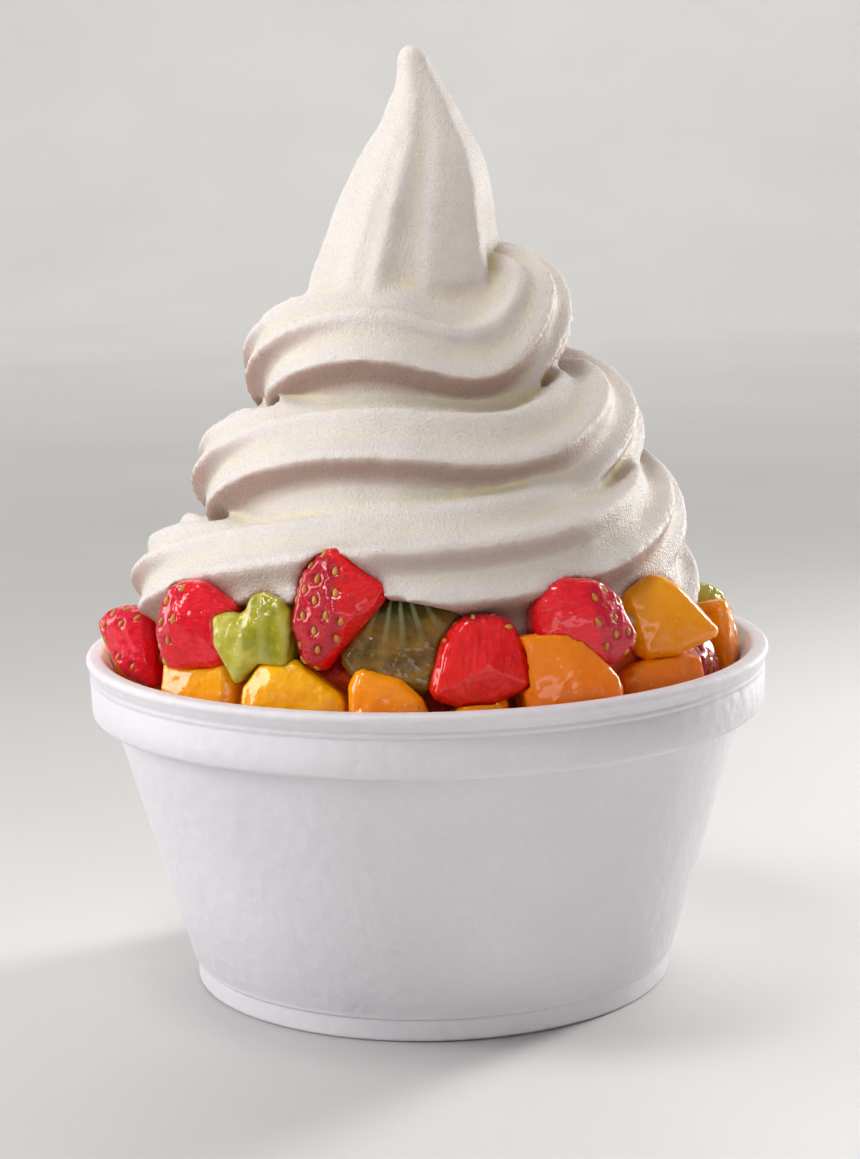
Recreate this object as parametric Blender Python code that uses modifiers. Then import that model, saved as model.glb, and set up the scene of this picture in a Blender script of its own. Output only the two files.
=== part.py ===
"""Frozen yogurt cup: a foam cup of frozen yogurt, swirled to a peak, with fruit pressed in round its foot.

Run with: blender --background --python part.py
Metres, +Z up. The origin is on the cup's axis, at the surface that the cup stands on.
The front, where the turns of the swirl climb from left to right, faces -Y.
"""

import math
import random

import bmesh
import bpy
from mathutils import Matrix, Vector

MM = 0.001

# Driving sizes of the cup, in millimetres
RIM_RADIUS = 58.5
CUP_HEIGHT = 57.8
FOOT_RADIUS = 41.3
FOOT_HEIGHT = 3.7
WALL_SLOPE = 0.287
WALL_THICKNESS = 2.6
FLOOR_TOP = 3.6
FLOOR_CORNER = 4.0
LIP_DEPTH = 2.2
BAND_BOTTOM = 47.3
CUP_STEPS = 48
# Heights between which food may be: both lie beyond it
ROOM_TOP = 200.0
ROOM_FLOOR = 1.0

# Driving sizes of the swirl, in millimetres and turns
RIDGES = 8
RIDGE_DEPTH = 0.20
RIDGE_CLIMB = 300.0
CLIMB_UNEVENNESS = 1.15
RIDGE_AT_FRONT = (1.25, 18.0)
CREST_SOFTNESS = 0.3
STEPS_PER_TURN = 31
# Where points are set across a ridge, as shares of its width from one crest to the next
RIDGE_POINTS = (0.0, 0.25, 0.5, 0.75)
# Least distance of such a point from a strip's edge, in ridges
EDGE_CLEARANCE = 0.3
# Least distance of such a point from the turn below or above, in millimetres
TURN_CLEARANCE = 1.3
# Two points less than this many ridges apart are on the same edge along the rope
SAME_PLACE = 0.001
# The lower edge of the rope's first turn and the upper edge of its last, as angles on its section in degrees
FOOT_EDGE = -75.0
TOP_EDGE = 150.0
# How far the upper edge of the last turn stays from the cup's axis at least, in millimetres
AXIS_CLEARANCE = 1.0
# Where the swirl is closed on the axis: below the rope's first height and above its last, in millimetres
FOOT_CLOSES = 6.0
HEAD_CLOSES = 2.0

# Gap between pieces that touch, in millimetres
GAP = 0.4

# Steepest turn between two faces that are shaded as one, and the least that is bevelled, in degrees
SMOOTH_ANGLE = 35
BEVEL_ANGLE = 28

# The colour and roughness of each kind of piece; none is metallic
FINISHES = {
    "foam": ((0.86, 0.86, 0.88, 1.0), 0.6),
    "yogurt": ((0.90, 0.87, 0.80, 1.0), 0.4),
    "strawberry": ((0.75, 0.04, 0.05, 1.0), 0.25),
    "mango": ((0.95, 0.42, 0.03, 1.0), 0.3),
    "kiwi": ((0.38, 0.42, 0.07, 1.0), 0.3),
}


def clear_scene():
    for obj in list(bpy.data.objects):
        bpy.data.objects.remove(obj)


def new_collection(name):
    collection = bpy.data.collections.new(name)
    bpy.context.scene.collection.children.link(collection)
    return collection


def make_materials():
    made = {}
    for name, (colour, roughness) in FINISHES.items():
        material = bpy.data.materials.new(name)
        material.use_nodes = True
        shader = material.node_tree.nodes["Principled BSDF"]
        shader.inputs["Base Color"].default_value = colour
        shader.inputs["Roughness"].default_value = roughness
        shader.inputs["Metallic"].default_value = 0.0
        material.diffuse_color = colour
        made[name] = material
    return made


def object_from_mesh(name, mesh, collection, material):
    obj = bpy.data.objects.new(name, mesh)
    collection.objects.link(obj)
    if material:
        mesh.materials.clear()
        mesh.materials.append(material)
    return obj


def evaluated_mesh(obj):
    """The object's mesh with its modifiers applied."""
    bpy.context.view_layer.update()
    graph = bpy.context.evaluated_depsgraph_get()
    return bpy.data.meshes.new_from_object(obj.evaluated_get(graph))


def apply_modifiers(obj):
    mesh = evaluated_mesh(obj)
    obj.modifiers.clear()
    obj.data = mesh
    return obj


# The cup


def outer_wall(height):
    """Radius of the tapered outer wall at a height."""
    return FOOT_RADIUS + 0.5 + WALL_SLOPE * (height - FOOT_HEIGHT)


def inner_wall(height):
    return outer_wall(height) - WALL_THICKNESS


def arc(centre, radius, start, end, points):
    """Points along an arc in the (radius, height) plane, angles in degrees."""
    made = []
    for i in range(points):
        angle = math.radians(start + (end - start) * i / (points - 1))
        made.append((centre[0] + radius * math.cos(angle), centre[1] + radius * math.sin(angle)))
    return made


def cup_profile():
    """The cup's section, from the middle of the floor up the inside, over the lip and down the outside."""
    corner_z = FLOOR_TOP + FLOOR_CORNER
    lip_round = 0.9
    inside_top = CUP_HEIGHT - LIP_DEPTH
    band_top = RIM_RADIUS - 0.5
    band_low = RIM_RADIUS - 0.8
    points = [(0.0, FLOOR_TOP)]
    points += arc((inner_wall(corner_z) - FLOOR_CORNER, corner_z), FLOOR_CORNER, -90, -15, 4)
    points += [(inner_wall(inside_top), inside_top)]
    points += arc((RIM_RADIUS - LIP_DEPTH, CUP_HEIGHT - lip_round), lip_round, 170, 95, 3)
    points += arc((RIM_RADIUS - lip_round, CUP_HEIGHT - lip_round), lip_round, 85, 0, 3)
    points += [
        (RIM_RADIUS, CUP_HEIGHT - 2.9),
        (band_top - 0.3, CUP_HEIGHT - 3.2),
        (band_top, CUP_HEIGHT - 3.6),
        (band_low, BAND_BOTTOM + 1.4),
    ]
    points += arc((band_low - 1.2, BAND_BOTTOM + 1.2), 1.2, -20, -90, 3)
    points += [
        (outer_wall(BAND_BOTTOM - 0.3), BAND_BOTTOM - 0.3),
        (outer_wall(FOOT_HEIGHT + 2.6), FOOT_HEIGHT + 2.6),
        (outer_wall(FOOT_HEIGHT + 0.6) - 0.15, FOOT_HEIGHT + 0.6),
        (FOOT_RADIUS, FOOT_HEIGHT),
        (FOOT_RADIUS, 0.4),
        (FOOT_RADIUS - 0.4, 0.0),
        (FOOT_RADIUS - 3.8, 0.0),
        (FOOT_RADIUS - 4.3, 1.0),
        (0.0, 1.0),
    ]
    return points


def turned(name, profile, steps, collection, material):
    """A solid turned about Z from a profile of (radius, height) in millimetres."""
    mesh = bpy.data.meshes.new(name)
    vertices = [(r * MM, 0.0, z * MM) for r, z in profile]
    edges = [(i, i + 1) for i in range(len(vertices) - 1)]
    mesh.from_pydata(vertices, edges, [])
    obj = object_from_mesh(name, mesh, collection, material)
    screw = obj.modifiers.new("turn", "SCREW")
    screw.steps = steps
    screw.render_steps = steps
    screw.use_merge_vertices = True
    screw.merge_threshold = 0.00001
    return obj


# The swirl

# Where the middle of the rope runs: turn, radius and height of its middle, radius of its section.
# A whole turn is at the left, a quarter further at the front, a half at the right.
ROPE = [
    (-1.00, 36.0, 57.0, 12.0),
    (-0.75, 35.0, 61.0, 12.0),
    (-0.50, 35.8, 66.0, 12.2),
    (-0.25, 37.5, 68.0, 12.2),
    (0.00, 38.7, 68.5, 12.4),
    (0.25, 36.8, 75.0, 12.6),
    (0.50, 32.6, 79.5, 12.4),
    (0.75, 30.0, 83.0, 12.3),
    (1.00, 27.8, 87.0, 12.3),
    (1.25, 27.0, 92.0, 12.3),
    (1.50, 25.8, 94.5, 12.3),
    (1.75, 22.5, 100.0, 12.0),
    (2.00, 19.2, 106.0, 11.8),
    (2.25, 16.5, 109.2, 11.5),
    (2.50, 14.8, 114.0, 11.5),
    (2.75, 9.5, 117.0, 10.6),
    (3.00, 4.5, 118.0, 9.0),
    (3.25, 2.5, 118.0, 6.0),
]
# Where the rope sags between the front and the right: turn, half length in turns, depth in millimetres
SAGS = [(1.32, 0.08, 3.2), (2.32, 0.08, 5.4)]


def smooth_between(rows, at):
    """Catmull-Rom through rows whose first value is evenly spaced."""
    step = rows[1][0] - rows[0][0]
    place = min(max((at - rows[0][0]) / step, 0.0), len(rows) - 1.000001)
    i = int(place)
    f = place - i
    a, b, c, d = (rows[min(max(j, 0), len(rows) - 1)] for j in (i - 1, i, i + 1, i + 2))
    return [
        0.5 * (2 * q + (r - p) * f + (2 * p - 5 * q + 4 * r - s) * f**2 + (3 * q - p - 3 * r + s) * f**3)
        for p, q, r, s in zip(a[1:], b[1:], c[1:], d[1:])
    ]


def rope_at(turn):
    """Radius and height of the rope's middle, and radius of its section."""
    ring, height, radius = smooth_between(ROPE, turn)
    sag = sum(depth * math.exp(-(((turn - middle) / width) ** 2)) for middle, width, depth in SAGS)
    return ring, height - sag, radius


def crest_angle(turn):
    """Where one of the crests is on the rope's section, in degrees, 0 outwards and 90 up."""
    past = turn - RIDGE_AT_FRONT[0]
    climbed = past - CLIMB_UNEVENNESS * math.sin(4 * math.pi * past) / (4 * math.pi)
    return RIDGE_AT_FRONT[1] + RIDGE_CLIMB * climbed


def ridged(radius, ridge):
    """Radius of the rope's surface at a count of ridges from the crest."""
    along = ridge % 1.0
    crisp = 4.0 * along * (1.0 - along)
    soft = 0.5 - 0.5 * math.cos(2 * math.pi * along)
    return radius * (1.0 - RIDGE_DEPTH * (crisp + (soft - crisp) * CREST_SOFTNESS))


def section_point(turn, ridge):
    """(radius from the cup's axis, height) of the rope's surface at a count of ridges from the crest."""
    ring, height, radius = rope_at(turn)
    reach = ridged(radius, ridge)
    angle = math.radians(crest_angle(turn) + ridge * 360.0 / RIDGES)
    return ring + reach * math.cos(angle), height + reach * math.sin(angle)


def ridge_at(turn, angle):
    """The count of ridges from the crest to an angle on the section."""
    return (angle - crest_angle(turn)) * RIDGES / 360.0


def clear_of(turn, point):
    """Whether a point of (radius from the cup's axis, height) is outside the rope's section."""
    if not ROPE[0][0] <= turn <= ROPE[-1][0]:
        return True
    ring, height, radius = rope_at(turn)
    across, up = point[0] - ring, point[1] - height
    reach = ridged(radius, ridge_at(turn, math.degrees(math.atan2(up, across))))
    return math.hypot(across, up) > reach + TURN_CLEARANCE


def seam_angle(turn):
    """Where the next turn of the rope rests on this one: the angle on this turn's section.
    Both sections are taken as plain circles, halfway up the ridges."""
    ring, height, radius = rope_at(turn)
    if turn + 1 > ROPE[-1][0]:
        across = max((AXIS_CLEARANCE - ring) / radius, math.cos(math.radians(TOP_EDGE)))
        return math.degrees(math.acos(across))
    next_ring, next_height, next_radius = rope_at(turn + 1)
    radius, next_radius = (r * (1.0 - RIDGE_DEPTH / 2.0) for r in (radius, next_radius))
    across, up = next_ring - ring, next_height - height
    apart = math.hypot(across, up)
    share = (radius**2 + apart**2 - next_radius**2) / (2.0 * radius * apart)
    return math.degrees(math.atan2(up, across) - math.acos(min(share, 1.0)))


def strip_across(turn, lowest, highest):
    """The counts of ridges at which a strip has points: its two edges and the set places between them
    that are clear of the turns below and above."""
    first, last = ridge_at(turn, lowest), ridge_at(turn, highest)
    places = [ridge + share for ridge in range(math.floor(first), math.ceil(last)) for share in RIDGE_POINTS]
    places = [p for p in places if first + EDGE_CLEARANCE < p < last - EDGE_CLEARANCE]
    points = [section_point(turn, p) for p in places]
    clear = [p for p, at in zip(places, points) if clear_of(turn - 1, at) and clear_of(turn + 1, at)]
    return [first] + clear + [last]


def faces_between(before, after):
    """Faces that join two strips of (count of ridges, vertex), so that edges follow the ridges."""
    faces = []
    i = j = 0
    while i < len(before) - 1 or j < len(after) - 1:
        here, there = before[i][1], after[j][1]
        if j == len(after) - 1 or (i < len(before) - 1 and before[i + 1][0] < after[j + 1][0] - SAME_PLACE):
            i += 1
            faces.append((here, there, before[i][1]))
        elif i == len(before) - 1 or after[j + 1][0] < before[i + 1][0] - SAME_PLACE:
            j += 1
            faces.append((here, there, after[j][1]))
        else:
            i, j = i + 1, j + 1
            faces.append((here, there, after[j][1], before[i][1]))
    return faces


def swirl_mesh(steps_per_turn):
    """The outside of the rope as one strip that climbs round the axis.
    Each turn's upper edge is the next one's lower edge."""
    first, last = ROPE[0][0], ROPE[-1][0]
    count = round((last - first) * steps_per_turn) + 1
    vertices, strips = [], []
    for i in range(count):
        turn = first + i / steps_per_turn
        about = math.radians(180.0 + 360.0 * turn)
        lower = strips[i - steps_per_turn][-1][1] if i >= steps_per_turn else None
        lowest = FOOT_EDGE
        if lower is not None:
            ring, height, _ = rope_at(turn)
            lowest = math.degrees(math.atan2(vertices[lower][2] - height, vertices[lower][3] - ring))
        strip = []
        for ridge in strip_across(turn, lowest, seam_angle(turn)):
            if lower is not None and not strip:
                strip.append((ridge, lower))
                continue
            r, z = section_point(turn, ridge)
            vertices.append((r * math.cos(about), r * math.sin(about), z, r))
            strip.append((ridge, len(vertices) - 1))
        strips.append(strip)
    faces = []
    for before, after in zip(strips, strips[1:]):
        faces += faces_between(before, after)
    rows = [[vertex for _, vertex in strip] for strip in strips]
    foot = [row[0] for row in rows[: steps_per_turn + 1]] + rows[0][-2:0:-1]
    head = [row[-1] for row in rows[-steps_per_turn - 1 :]] + rows[-1][-2:0:-1]
    ends = ((foot, ROPE[0][2] - FOOT_CLOSES, False), (head, ROPE[-1][2] + HEAD_CLOSES, True))
    for loop, height, flip in ends:
        vertices.append((0.0, 0.0, height, 0.0))
        for a, b in zip(loop, loop[1:] + loop[:1]):
            faces.append((a, b, len(vertices) - 1) if flip else (b, a, len(vertices) - 1))
    return [(x * MM, y * MM, z * MM) for x, y, z, _ in vertices], faces


# Each row: height, radius and sideways lean of a ring of the pulled-up peak, in millimetres
PEAK = [
    (108.0, 12.0, -2.0),
    (114.0, 16.6, -2.2),
    (118.5, 17.2, -2.0),
    (123.5, 16.2, -1.5),
    (128.2, 14.9, -0.8),
    (132.8, 13.9, -0.2),
    (137.4, 12.3, 0.5),
    (141.5, 10.4, 1.0),
    (145.2, 8.0, 1.1),
    (148.8, 6.2, 1.1),
    (151.8, 4.5, 0.8),
    (155.0, 2.9, 0.1),
    (157.7, 2.0, -0.4),
]
PEAK_TOP = (158.8, -0.5)
# The peak's crests: bearing at its foot in degrees, turn for each millimetre up, share of the full radius,
# and how deep the hollow after it is, as a share of the radius
PEAK_CRESTS = [
    (-172, 0.2, 1.0, 0.10),
    (-128, 0.2, 0.98, 0.04),
    (-109, 0.2, 1.0, 0.09),
    (-80, 0.1, 0.93, 0.02),
    (-38, -0.4, 1.0, 0.15),
    (14, 0.2, 1.0, 0.16),
    (74, 0.2, 1.0, 0.16),
    (134, 0.2, 1.0, 0.15),
]
# Height of the crests' foot
CREST_FOOT = 118.0


def peak_ring(height, radius):
    """(angle about Z, radius) of points round the peak at a height: sharp crests with hollows between."""
    crests = [(foot + twist * (height - CREST_FOOT), *rest) for foot, twist, *rest in PEAK_CRESTS]
    crests.append((crests[0][0] + 360.0, *crests[0][1:]))
    ring = []
    for (angle, size, hollow), (next_angle, next_size, _) in zip(crests, crests[1:]):
        for share in RIDGE_POINTS:
            reach = size + (next_size - size) * share - hollow * 4.0 * share * (1.0 - share)
            ring.append((angle + (next_angle - angle) * share, radius * reach))
    return ring


def peak_mesh():
    """The pulled-up peak, closed at the foot inside the swirl."""
    vertices, faces = [], []
    for height, radius, lean in PEAK:
        for angle, reach in peak_ring(height, radius):
            a = math.radians(angle)
            vertices.append((lean + reach * math.cos(a), reach * math.sin(a), height))
    points_round = len(vertices) // len(PEAK)
    for k in range(len(PEAK) - 1):
        for j in range(points_round):
            a, b = k * points_round + j, k * points_round + (j + 1) % points_round
            faces.append((a, b, b + points_round, a + points_round))
    top = len(vertices)
    vertices.append((PEAK_TOP[1], 0.0, PEAK_TOP[0]))
    vertices.append((PEAK[0][2], 0.0, PEAK[0][0]))
    last = (len(PEAK) - 1) * points_round
    for j in range(points_round):
        following = (j + 1) % points_round
        faces.append((last + j, last + following, top))
        faces.append((following, j, top + 1))
    return [(x * MM, y * MM, z * MM) for x, y, z in vertices], faces


def fill_profile():
    """The yogurt inside the cup, from the middle of its top down its outside."""
    points = [(0.0, 74.0), (30.0, 71.0), (35.5, 63.0), (40.0, 56.0)]
    points += [(inner_wall(z) - GAP, z) for z in (50.0, 30.0, FLOOR_TOP + FLOOR_CORNER)]
    foot = inner_wall(FLOOR_TOP + FLOOR_CORNER) - FLOOR_CORNER
    points += [(foot + 1.6, FLOOR_TOP + 1.6), (foot - 0.5, FLOOR_TOP + GAP), (0.0, FLOOR_TOP + GAP)]
    return points


def room_profile():
    """The space that food may take: inside the wall, and over the lip up to the cup's own width.
    Near the cup's floor the fill's own profile keeps clear of its corner."""
    lip_foot = CUP_HEIGHT - LIP_DEPTH
    return [
        (0.0, ROOM_TOP),
        (RIM_RADIUS - 0.2, ROOM_TOP),
        (RIM_RADIUS - 0.2, CUP_HEIGHT + GAP),
        (RIM_RADIUS - LIP_DEPTH - GAP, CUP_HEIGHT + GAP),
        (inner_wall(lip_foot) - GAP, lip_foot),
        (inner_wall(ROOM_FLOOR) - GAP, ROOM_FLOOR),
        (0.0, ROOM_FLOOR),
    ]


# The fruit

# Each piece: kind, middle of its front (x, y, z), turn about Z, lean back, depth, outline of the front
# as (across, up), and the outline's crown (across, up, forward). Millimetres and degrees.
# A strawberry's last value is the direction that its skin faces.
FRONT_FRUIT = [
    ("strawberry", (-13.8, -46.0, 72.0), -10, 6, 13,
     [(-1.5, 9.5), (0.5, 9.0), (8.5, 3.0), (3.5, -3.0), (-2.5, -10), (-5.5, -8.5), (-7.5, -2.5), (-5.5, 6)],
     (1.0, -1.0, 3.5), (-0.75, -0.62, -0.1)),
    ("strawberry", (8.0, -49.0, 64.2), 8, 8, 13,
     [(-2.5, 6.5), (3, 7), (5.5, 5.5), (7.5, 0), (8, -4.5), (2, -7), (-4, -7), (-8, -5.5), (-5.5, 3)],
     (1.0, -1.0, 2.5), (0.1, 0.3, 1.0)),
    ("kiwi", (-27.8, -43.0, 67.4), -24, 8, 12,
     [(-6.5, 2.5), (-4, 3.5), (-1.8, 3), (-0.5, 4.2), (0.4, 6.3), (2.5, 7), (5, 6), (6.5, 4), (6.5, -4),
      (1.5, -4), (-2, -7.5), (-6, -1.5)],
     (0.5, 0.0, 1.2)),
    ("strawberry", (-36.4, -38.0, 67.3), -18, 8, 15,
     [(-4.5, 7.5), (-1, 8), (1, 8), (7, 4), (7, -3.5), (3, -5.5), (-5.5, -6), (-7, 0), (-6, 5)],
     (-3.0, 2.0, 2.0), (-1.0, -0.1, 0.25)),
    ("strawberry", (-50.5, -14.0, 60.8), -30, 8, 14,
     [(-6, 3), (-4, 5.5), (-0.5, 6.5), (4, 6), (6, -7), (-0.5, -5), (-4, -1)],
     (-0.5, 4.0, 2.0), (-0.7, -0.2, 0.7)),
    ("strawberry", (25.1, -43.0, 68.6), 18, 8, 15,
     [(-8.5, 3.5), (-6, 6), (-3, 7), (1.5, 6.5), (5.5, 4), (8.5, -4), (4, -7.5), (-4, -5), (-8.5, -1.5)],
     (1.5, 0.0, 3.0), (0.85, -0.4, 0.35)),
    ("mango", (38.8, -30.0, 67.2), 22, 12, 15,
     [(-7.5, 3.5), (-2.5, 6), (-0.5, 6.5), (2.5, 4.5), (10, -4), (1, -7), (-5, -7)],
     (-1.0, 0.0, 1.0)),
    ("kiwi", (-3.7, -46.0, 66.4), 0, 20, 12,
     [(-10, -2), (-6, 5), (-1, 7.5), (10, 5), (7.5, -1), (4, -8), (-8, -5)],
     (0.0, -1.0, 1.5)),
    ("mango", (22.3, -47.0, 61.6), 18, 14, 14,
     [(-8.5, 6), (-1, 6.5), (2.5, 5), (8.5, -2), (8.5, -8), (-7, -8)],
     (0.0, 1.0, 1.5)),
    ("mango", (38.5, -32.0, 57.4), 34, 10, 13,
     [(-8.5, 1), (-4.5, 2.5), (2.5, 3.5), (8, 2.5), (8.5, -5), (-7, -7)],
     (1.0, -1.0, 1.2)),
    ("mango", (-21.2, -46.0, 60.2), -20, 14, 12,
     [(-8.5, -1), (-5.5, 3.5), (-4.5, 4.5), (0, 4), (8.5, -1.5), (8.5, -8), (-8.5, -8)],
     (-2.5, 0.5, 1.8)),
    ("mango", (-37.0, -37.2, 59.0), -34, 12, 13,
     [(-7, 3.5), (-3.5, 7), (2, 8), (4, 6.5), (7, 1.5), (7, -7), (-7, -7)],
     (0.0, 0.0, 1.2)),
    ("mango", (-6.2, -50.5, 60.0), -6, 12, 12,
     [(-6, 0.5), (-5, 3.5), (2, 1.5), (6, -2), (6, -8), (-6, -8)],
     (-1.0, -1.0, 1.0)),
    ("mango", (8.2, -50.5, 56.5), 8, 10, 12,
     [(-4, 1), (4, 2.5), (4.5, -5), (-4, -5)],
     (0.0, -1.0, 0.6)),
    ("strawberry", (44.8, -15.0, 57.0), 55, 20, 12,
     [(-9.5, 0.5), (-4.5, 2), (2, 2.5), (4.5, 3), (6.5, 2), (7, -1), (6, -6), (-8, -6)],
     (0.0, -0.5, 1.5), (0.45, -0.45, 0.8)),
    ("mango", (52.0, -4.0, 60.0), 70, 6, 11,
     [(-4, 4.5), (-2.5, 5), (0.5, 4), (3, -2), (2.5, -8), (-4, -8)],
     (0.0, -1.0, 0.8)),
    ("kiwi", (49.5, 2.0, 63.5), 40, 8, 12,
     [(-5, 3), (-1, 3), (3.5, 1), (4, -5), (-5, -5)],
     (0.0, 0.0, 0.8)),
]

# The ring goes on behind. Each piece: kind, bearing in degrees, radius and height of its face's middle
BACK_FRUIT = [
    ("strawberry", 31, 47.0, 67.0),
    ("mango", 58, 46.5, 68.0),
    ("kiwi", 84, 45.5, 67.0),
    ("strawberry", 110, 46.5, 67.5),
    ("mango", 137, 46.0, 67.0),
    ("kiwi", 162, 47.0, 65.5),
    ("mango", 20, 53.5, 57.0),
    ("mango", 40, 53.0, 57.5),
    ("strawberry", 60, 53.0, 57.0),
    ("mango", 80, 53.0, 58.0),
    ("kiwi", 100, 53.0, 57.5),
    ("mango", 120, 53.0, 58.0),
    ("strawberry", 140, 53.0, 57.0),
    ("mango", 160, 53.0, 57.5),
    ("mango", 179, 53.0, 57.0),
]
BACK_SIZE = (16.5, 14.0, 13.0)

EDGE_ROUND = {"strawberry": 1.0, "mango": 1.1, "kiwi": 1.0}
BACK_TAPER = 0.86
POCKET_AHEAD = 7.0
BACK_BULGE = 0.8
SEED_SPACING = 3.7
SEED_CLEARANCE = 1.3
SEED_SIZE = (0.62, 1.05, 0.5)


def back_row(kind, bearing, radius, height, draw):
    """A piece at the back, in the form of a front row, facing outwards, with an uneven outline."""
    across, up, depth = (size * draw.uniform(0.92, 1.08) for size in BACK_SIZE)
    a = math.radians(bearing)
    corners = [(-0.5, -0.5), (-0.52, 0.2), (-0.3, 0.5), (0.26, 0.48), (0.5, 0.16), (0.48, -0.5)]
    outline = []
    for x, y in corners:
        uneven = draw.uniform(-0.06, 0.06), draw.uniform(-0.06, 0.06)
        outline.append((across * (x + uneven[0]), up * (y + uneven[1])))
    crown = (draw.uniform(-2, 2), draw.uniform(-2, 2), draw.uniform(0.8, 2.0))
    place = (radius * math.cos(a), radius * math.sin(a), height)
    row = (kind, place, bearing + 90 + draw.uniform(-12, 12), draw.uniform(6, 16), depth, outline, crown)
    if kind == "strawberry":
        side = a + draw.uniform(-0.9, 0.9)
        row += ((math.cos(side), math.sin(side), 0.5),)
    return row


def grown(outline, by):
    """A clockwise outline with each side moved out by a distance."""
    moved = []
    for i, here in enumerate(outline):
        before, after = outline[i - 1], outline[(i + 1) % len(outline)]
        first = Vector((before[1] - here[1], here[0] - before[0])).normalized()
        second = Vector((here[1] - after[1], after[0] - here[0])).normalized()
        out = (first + second) * (by / (1.0 + first.dot(second)))
        moved.append((here[0] + out.x, here[1] + out.y))
    return moved


def chunk_mesh(name, outline, crown, depth, by=0.0, ahead=0.0):
    """A cut piece of fruit: an outline with a crowned front, drawn in a little towards its back.
    With distances given, it stands proud by that much on every side, and in front by more."""
    build = bmesh.new()
    count = len(outline)
    middle = (sum(p[0] for p in outline) / count, sum(p[1] for p in outline) / count)
    rings = []
    for back, size in ((-by - ahead, 1.0), (depth + by, BACK_TAPER)):
        section = [tuple(m + (v - m) * size for m, v in zip(middle, point)) for point in outline]
        rings.append([build.verts.new((x * MM, back * MM, z * MM)) for x, z in grown(section, by)])
    front = build.verts.new((crown[0] * MM, -(crown[2] + by + ahead) * MM, crown[1] * MM))
    rear = build.verts.new((middle[0] * MM, (depth + BACK_BULGE + by) * MM, middle[1] * MM))
    for i in range(count):
        j = (i + 1) % count
        build.faces.new((rings[0][i], rings[0][j], front))
        build.faces.new((rings[0][j], rings[0][i], rings[1][i], rings[1][j]))
        build.faces.new((rings[1][j], rings[1][i], rear))
    bmesh.ops.recalc_face_normals(build, faces=build.faces)
    mesh = bpy.data.meshes.new(name)
    build.to_mesh(mesh)
    build.free()
    return mesh


def place_mesh(obj, place, turn, lean):
    """Moves the object's mesh to its place in the cup."""
    matrix = Matrix.Translation(Vector(place) * MM)
    matrix @= Matrix.Rotation(math.radians(turn), 4, "Z")
    matrix @= Matrix.Rotation(math.radians(-lean), 4, "X")
    obj.data.transform(matrix)


def make_chunk(name, row, collection, material, by=0.0, ahead=0.0):
    """A piece of fruit with sharp edges, in its place."""
    place, turn, lean, depth, outline, crown = row[1:7]
    mesh = chunk_mesh(name, outline, crown, depth, by, ahead)
    obj = object_from_mesh(name, mesh, collection, material)
    place_mesh(obj, place, turn, lean)
    return obj


def round_edges(obj, width):
    bevel = obj.modifiers.new("rounded", "BEVEL")
    bevel.width = width * MM
    bevel.segments = 1
    bevel.limit_method = "ANGLE"
    bevel.angle_limit = math.radians(BEVEL_ANGLE)
    apply_modifiers(obj)


def boolean(obj, operation, other=None, collection=None, solver="EXACT"):
    """Applies one Boolean with an object or a collection."""
    cut = obj.modifiers.new(operation.lower(), "BOOLEAN")
    cut.operation = operation
    cut.solver = solver
    if collection:
        cut.operand_type = "COLLECTION"
        cut.collection = collection
    else:
        cut.object = other
    apply_modifiers(obj)


def bounds(obj):
    points = [v.co for v in obj.data.vertices]
    return [min(p[i] for p in points) for i in range(3)], [max(p[i] for p in points) for i in range(3)]


def near(a, b):
    """Whether the boxes round two objects meet."""
    low_a, high_a = bounds(a)
    low_b, high_b = bounds(b)
    return all(low_a[i] < high_b[i] + MM and low_b[i] < high_a[i] + MM for i in range(3))


def largest_body(obj):
    """Drops loose scraps that a cut leaves."""
    build = bmesh.new()
    build.from_mesh(obj.data)
    left, groups = set(build.faces), []
    while left:
        group, queue = set(), [left.pop()]
        while queue:
            face = queue.pop()
            group.add(face)
            for edge in face.edges:
                for other in edge.link_faces:
                    if other in left:
                        left.discard(other)
                        queue.append(other)
        groups.append(group)
    groups.sort(key=lambda g: sum(f.calc_area() for f in g), reverse=True)
    scraps = [f for g in groups[1:] for f in g]
    bmesh.ops.delete(build, geom=scraps, context="FACES")
    build.to_mesh(obj.data)
    build.free()


def skin_spots(obj, facing, spacing):
    """Points and normals over the part of a strawberry piece that is skin, in staggered rows."""
    facing = Vector(facing).normalized()
    aside = facing.cross(Vector((0, 0, 1))).normalized()
    along = aside.cross(facing)
    low, high = bounds(obj)
    centre = (Vector(low) + Vector(high)) / 2
    spots = []
    for i in range(-6, 7):
        for j in range(-6, 7):
            across = (j + 0.5 * (i % 2)) * spacing * MM
            start = centre + facing * 20 * MM + along * (i * spacing * 0.87 * MM) + aside * across
            hit, point, normal, _ = obj.ray_cast(start, -facing)
            if hit and normal.dot(facing) > 0.6:
                spots.append((point, normal))
    return spots


def add_seeds(obj, facing, others, collection):
    """Fuses the strawberry's seeds to its skin, where nothing lies against it."""
    joined = bmesh.new()
    for point, normal in skin_spots(obj, facing, SEED_SPACING):
        if any(other.closest_point_on_mesh(point, distance=SEED_CLEARANCE * MM)[0] for other in others):
            continue
        turn = normal.to_track_quat("Z", "Y").to_matrix().to_4x4()
        shape = bmesh.new()
        bmesh.ops.create_cone(shape, cap_ends=True, segments=5, radius1=MM, radius2=0.5 * MM, depth=MM)
        shape.transform(Matrix.Translation(point) @ turn @ Matrix.Diagonal((*SEED_SIZE, 1.0)))
        part = bpy.data.meshes.new("seed")
        shape.to_mesh(part)
        shape.free()
        joined.from_mesh(part)
        bpy.data.meshes.remove(part)
    if not joined.verts:
        return
    mesh = bpy.data.meshes.new("seeds")
    joined.to_mesh(mesh)
    joined.free()
    seeds = object_from_mesh("seeds", mesh, collection, None)
    boolean(obj, "UNION", seeds)
    bpy.data.objects.remove(seeds)


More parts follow.
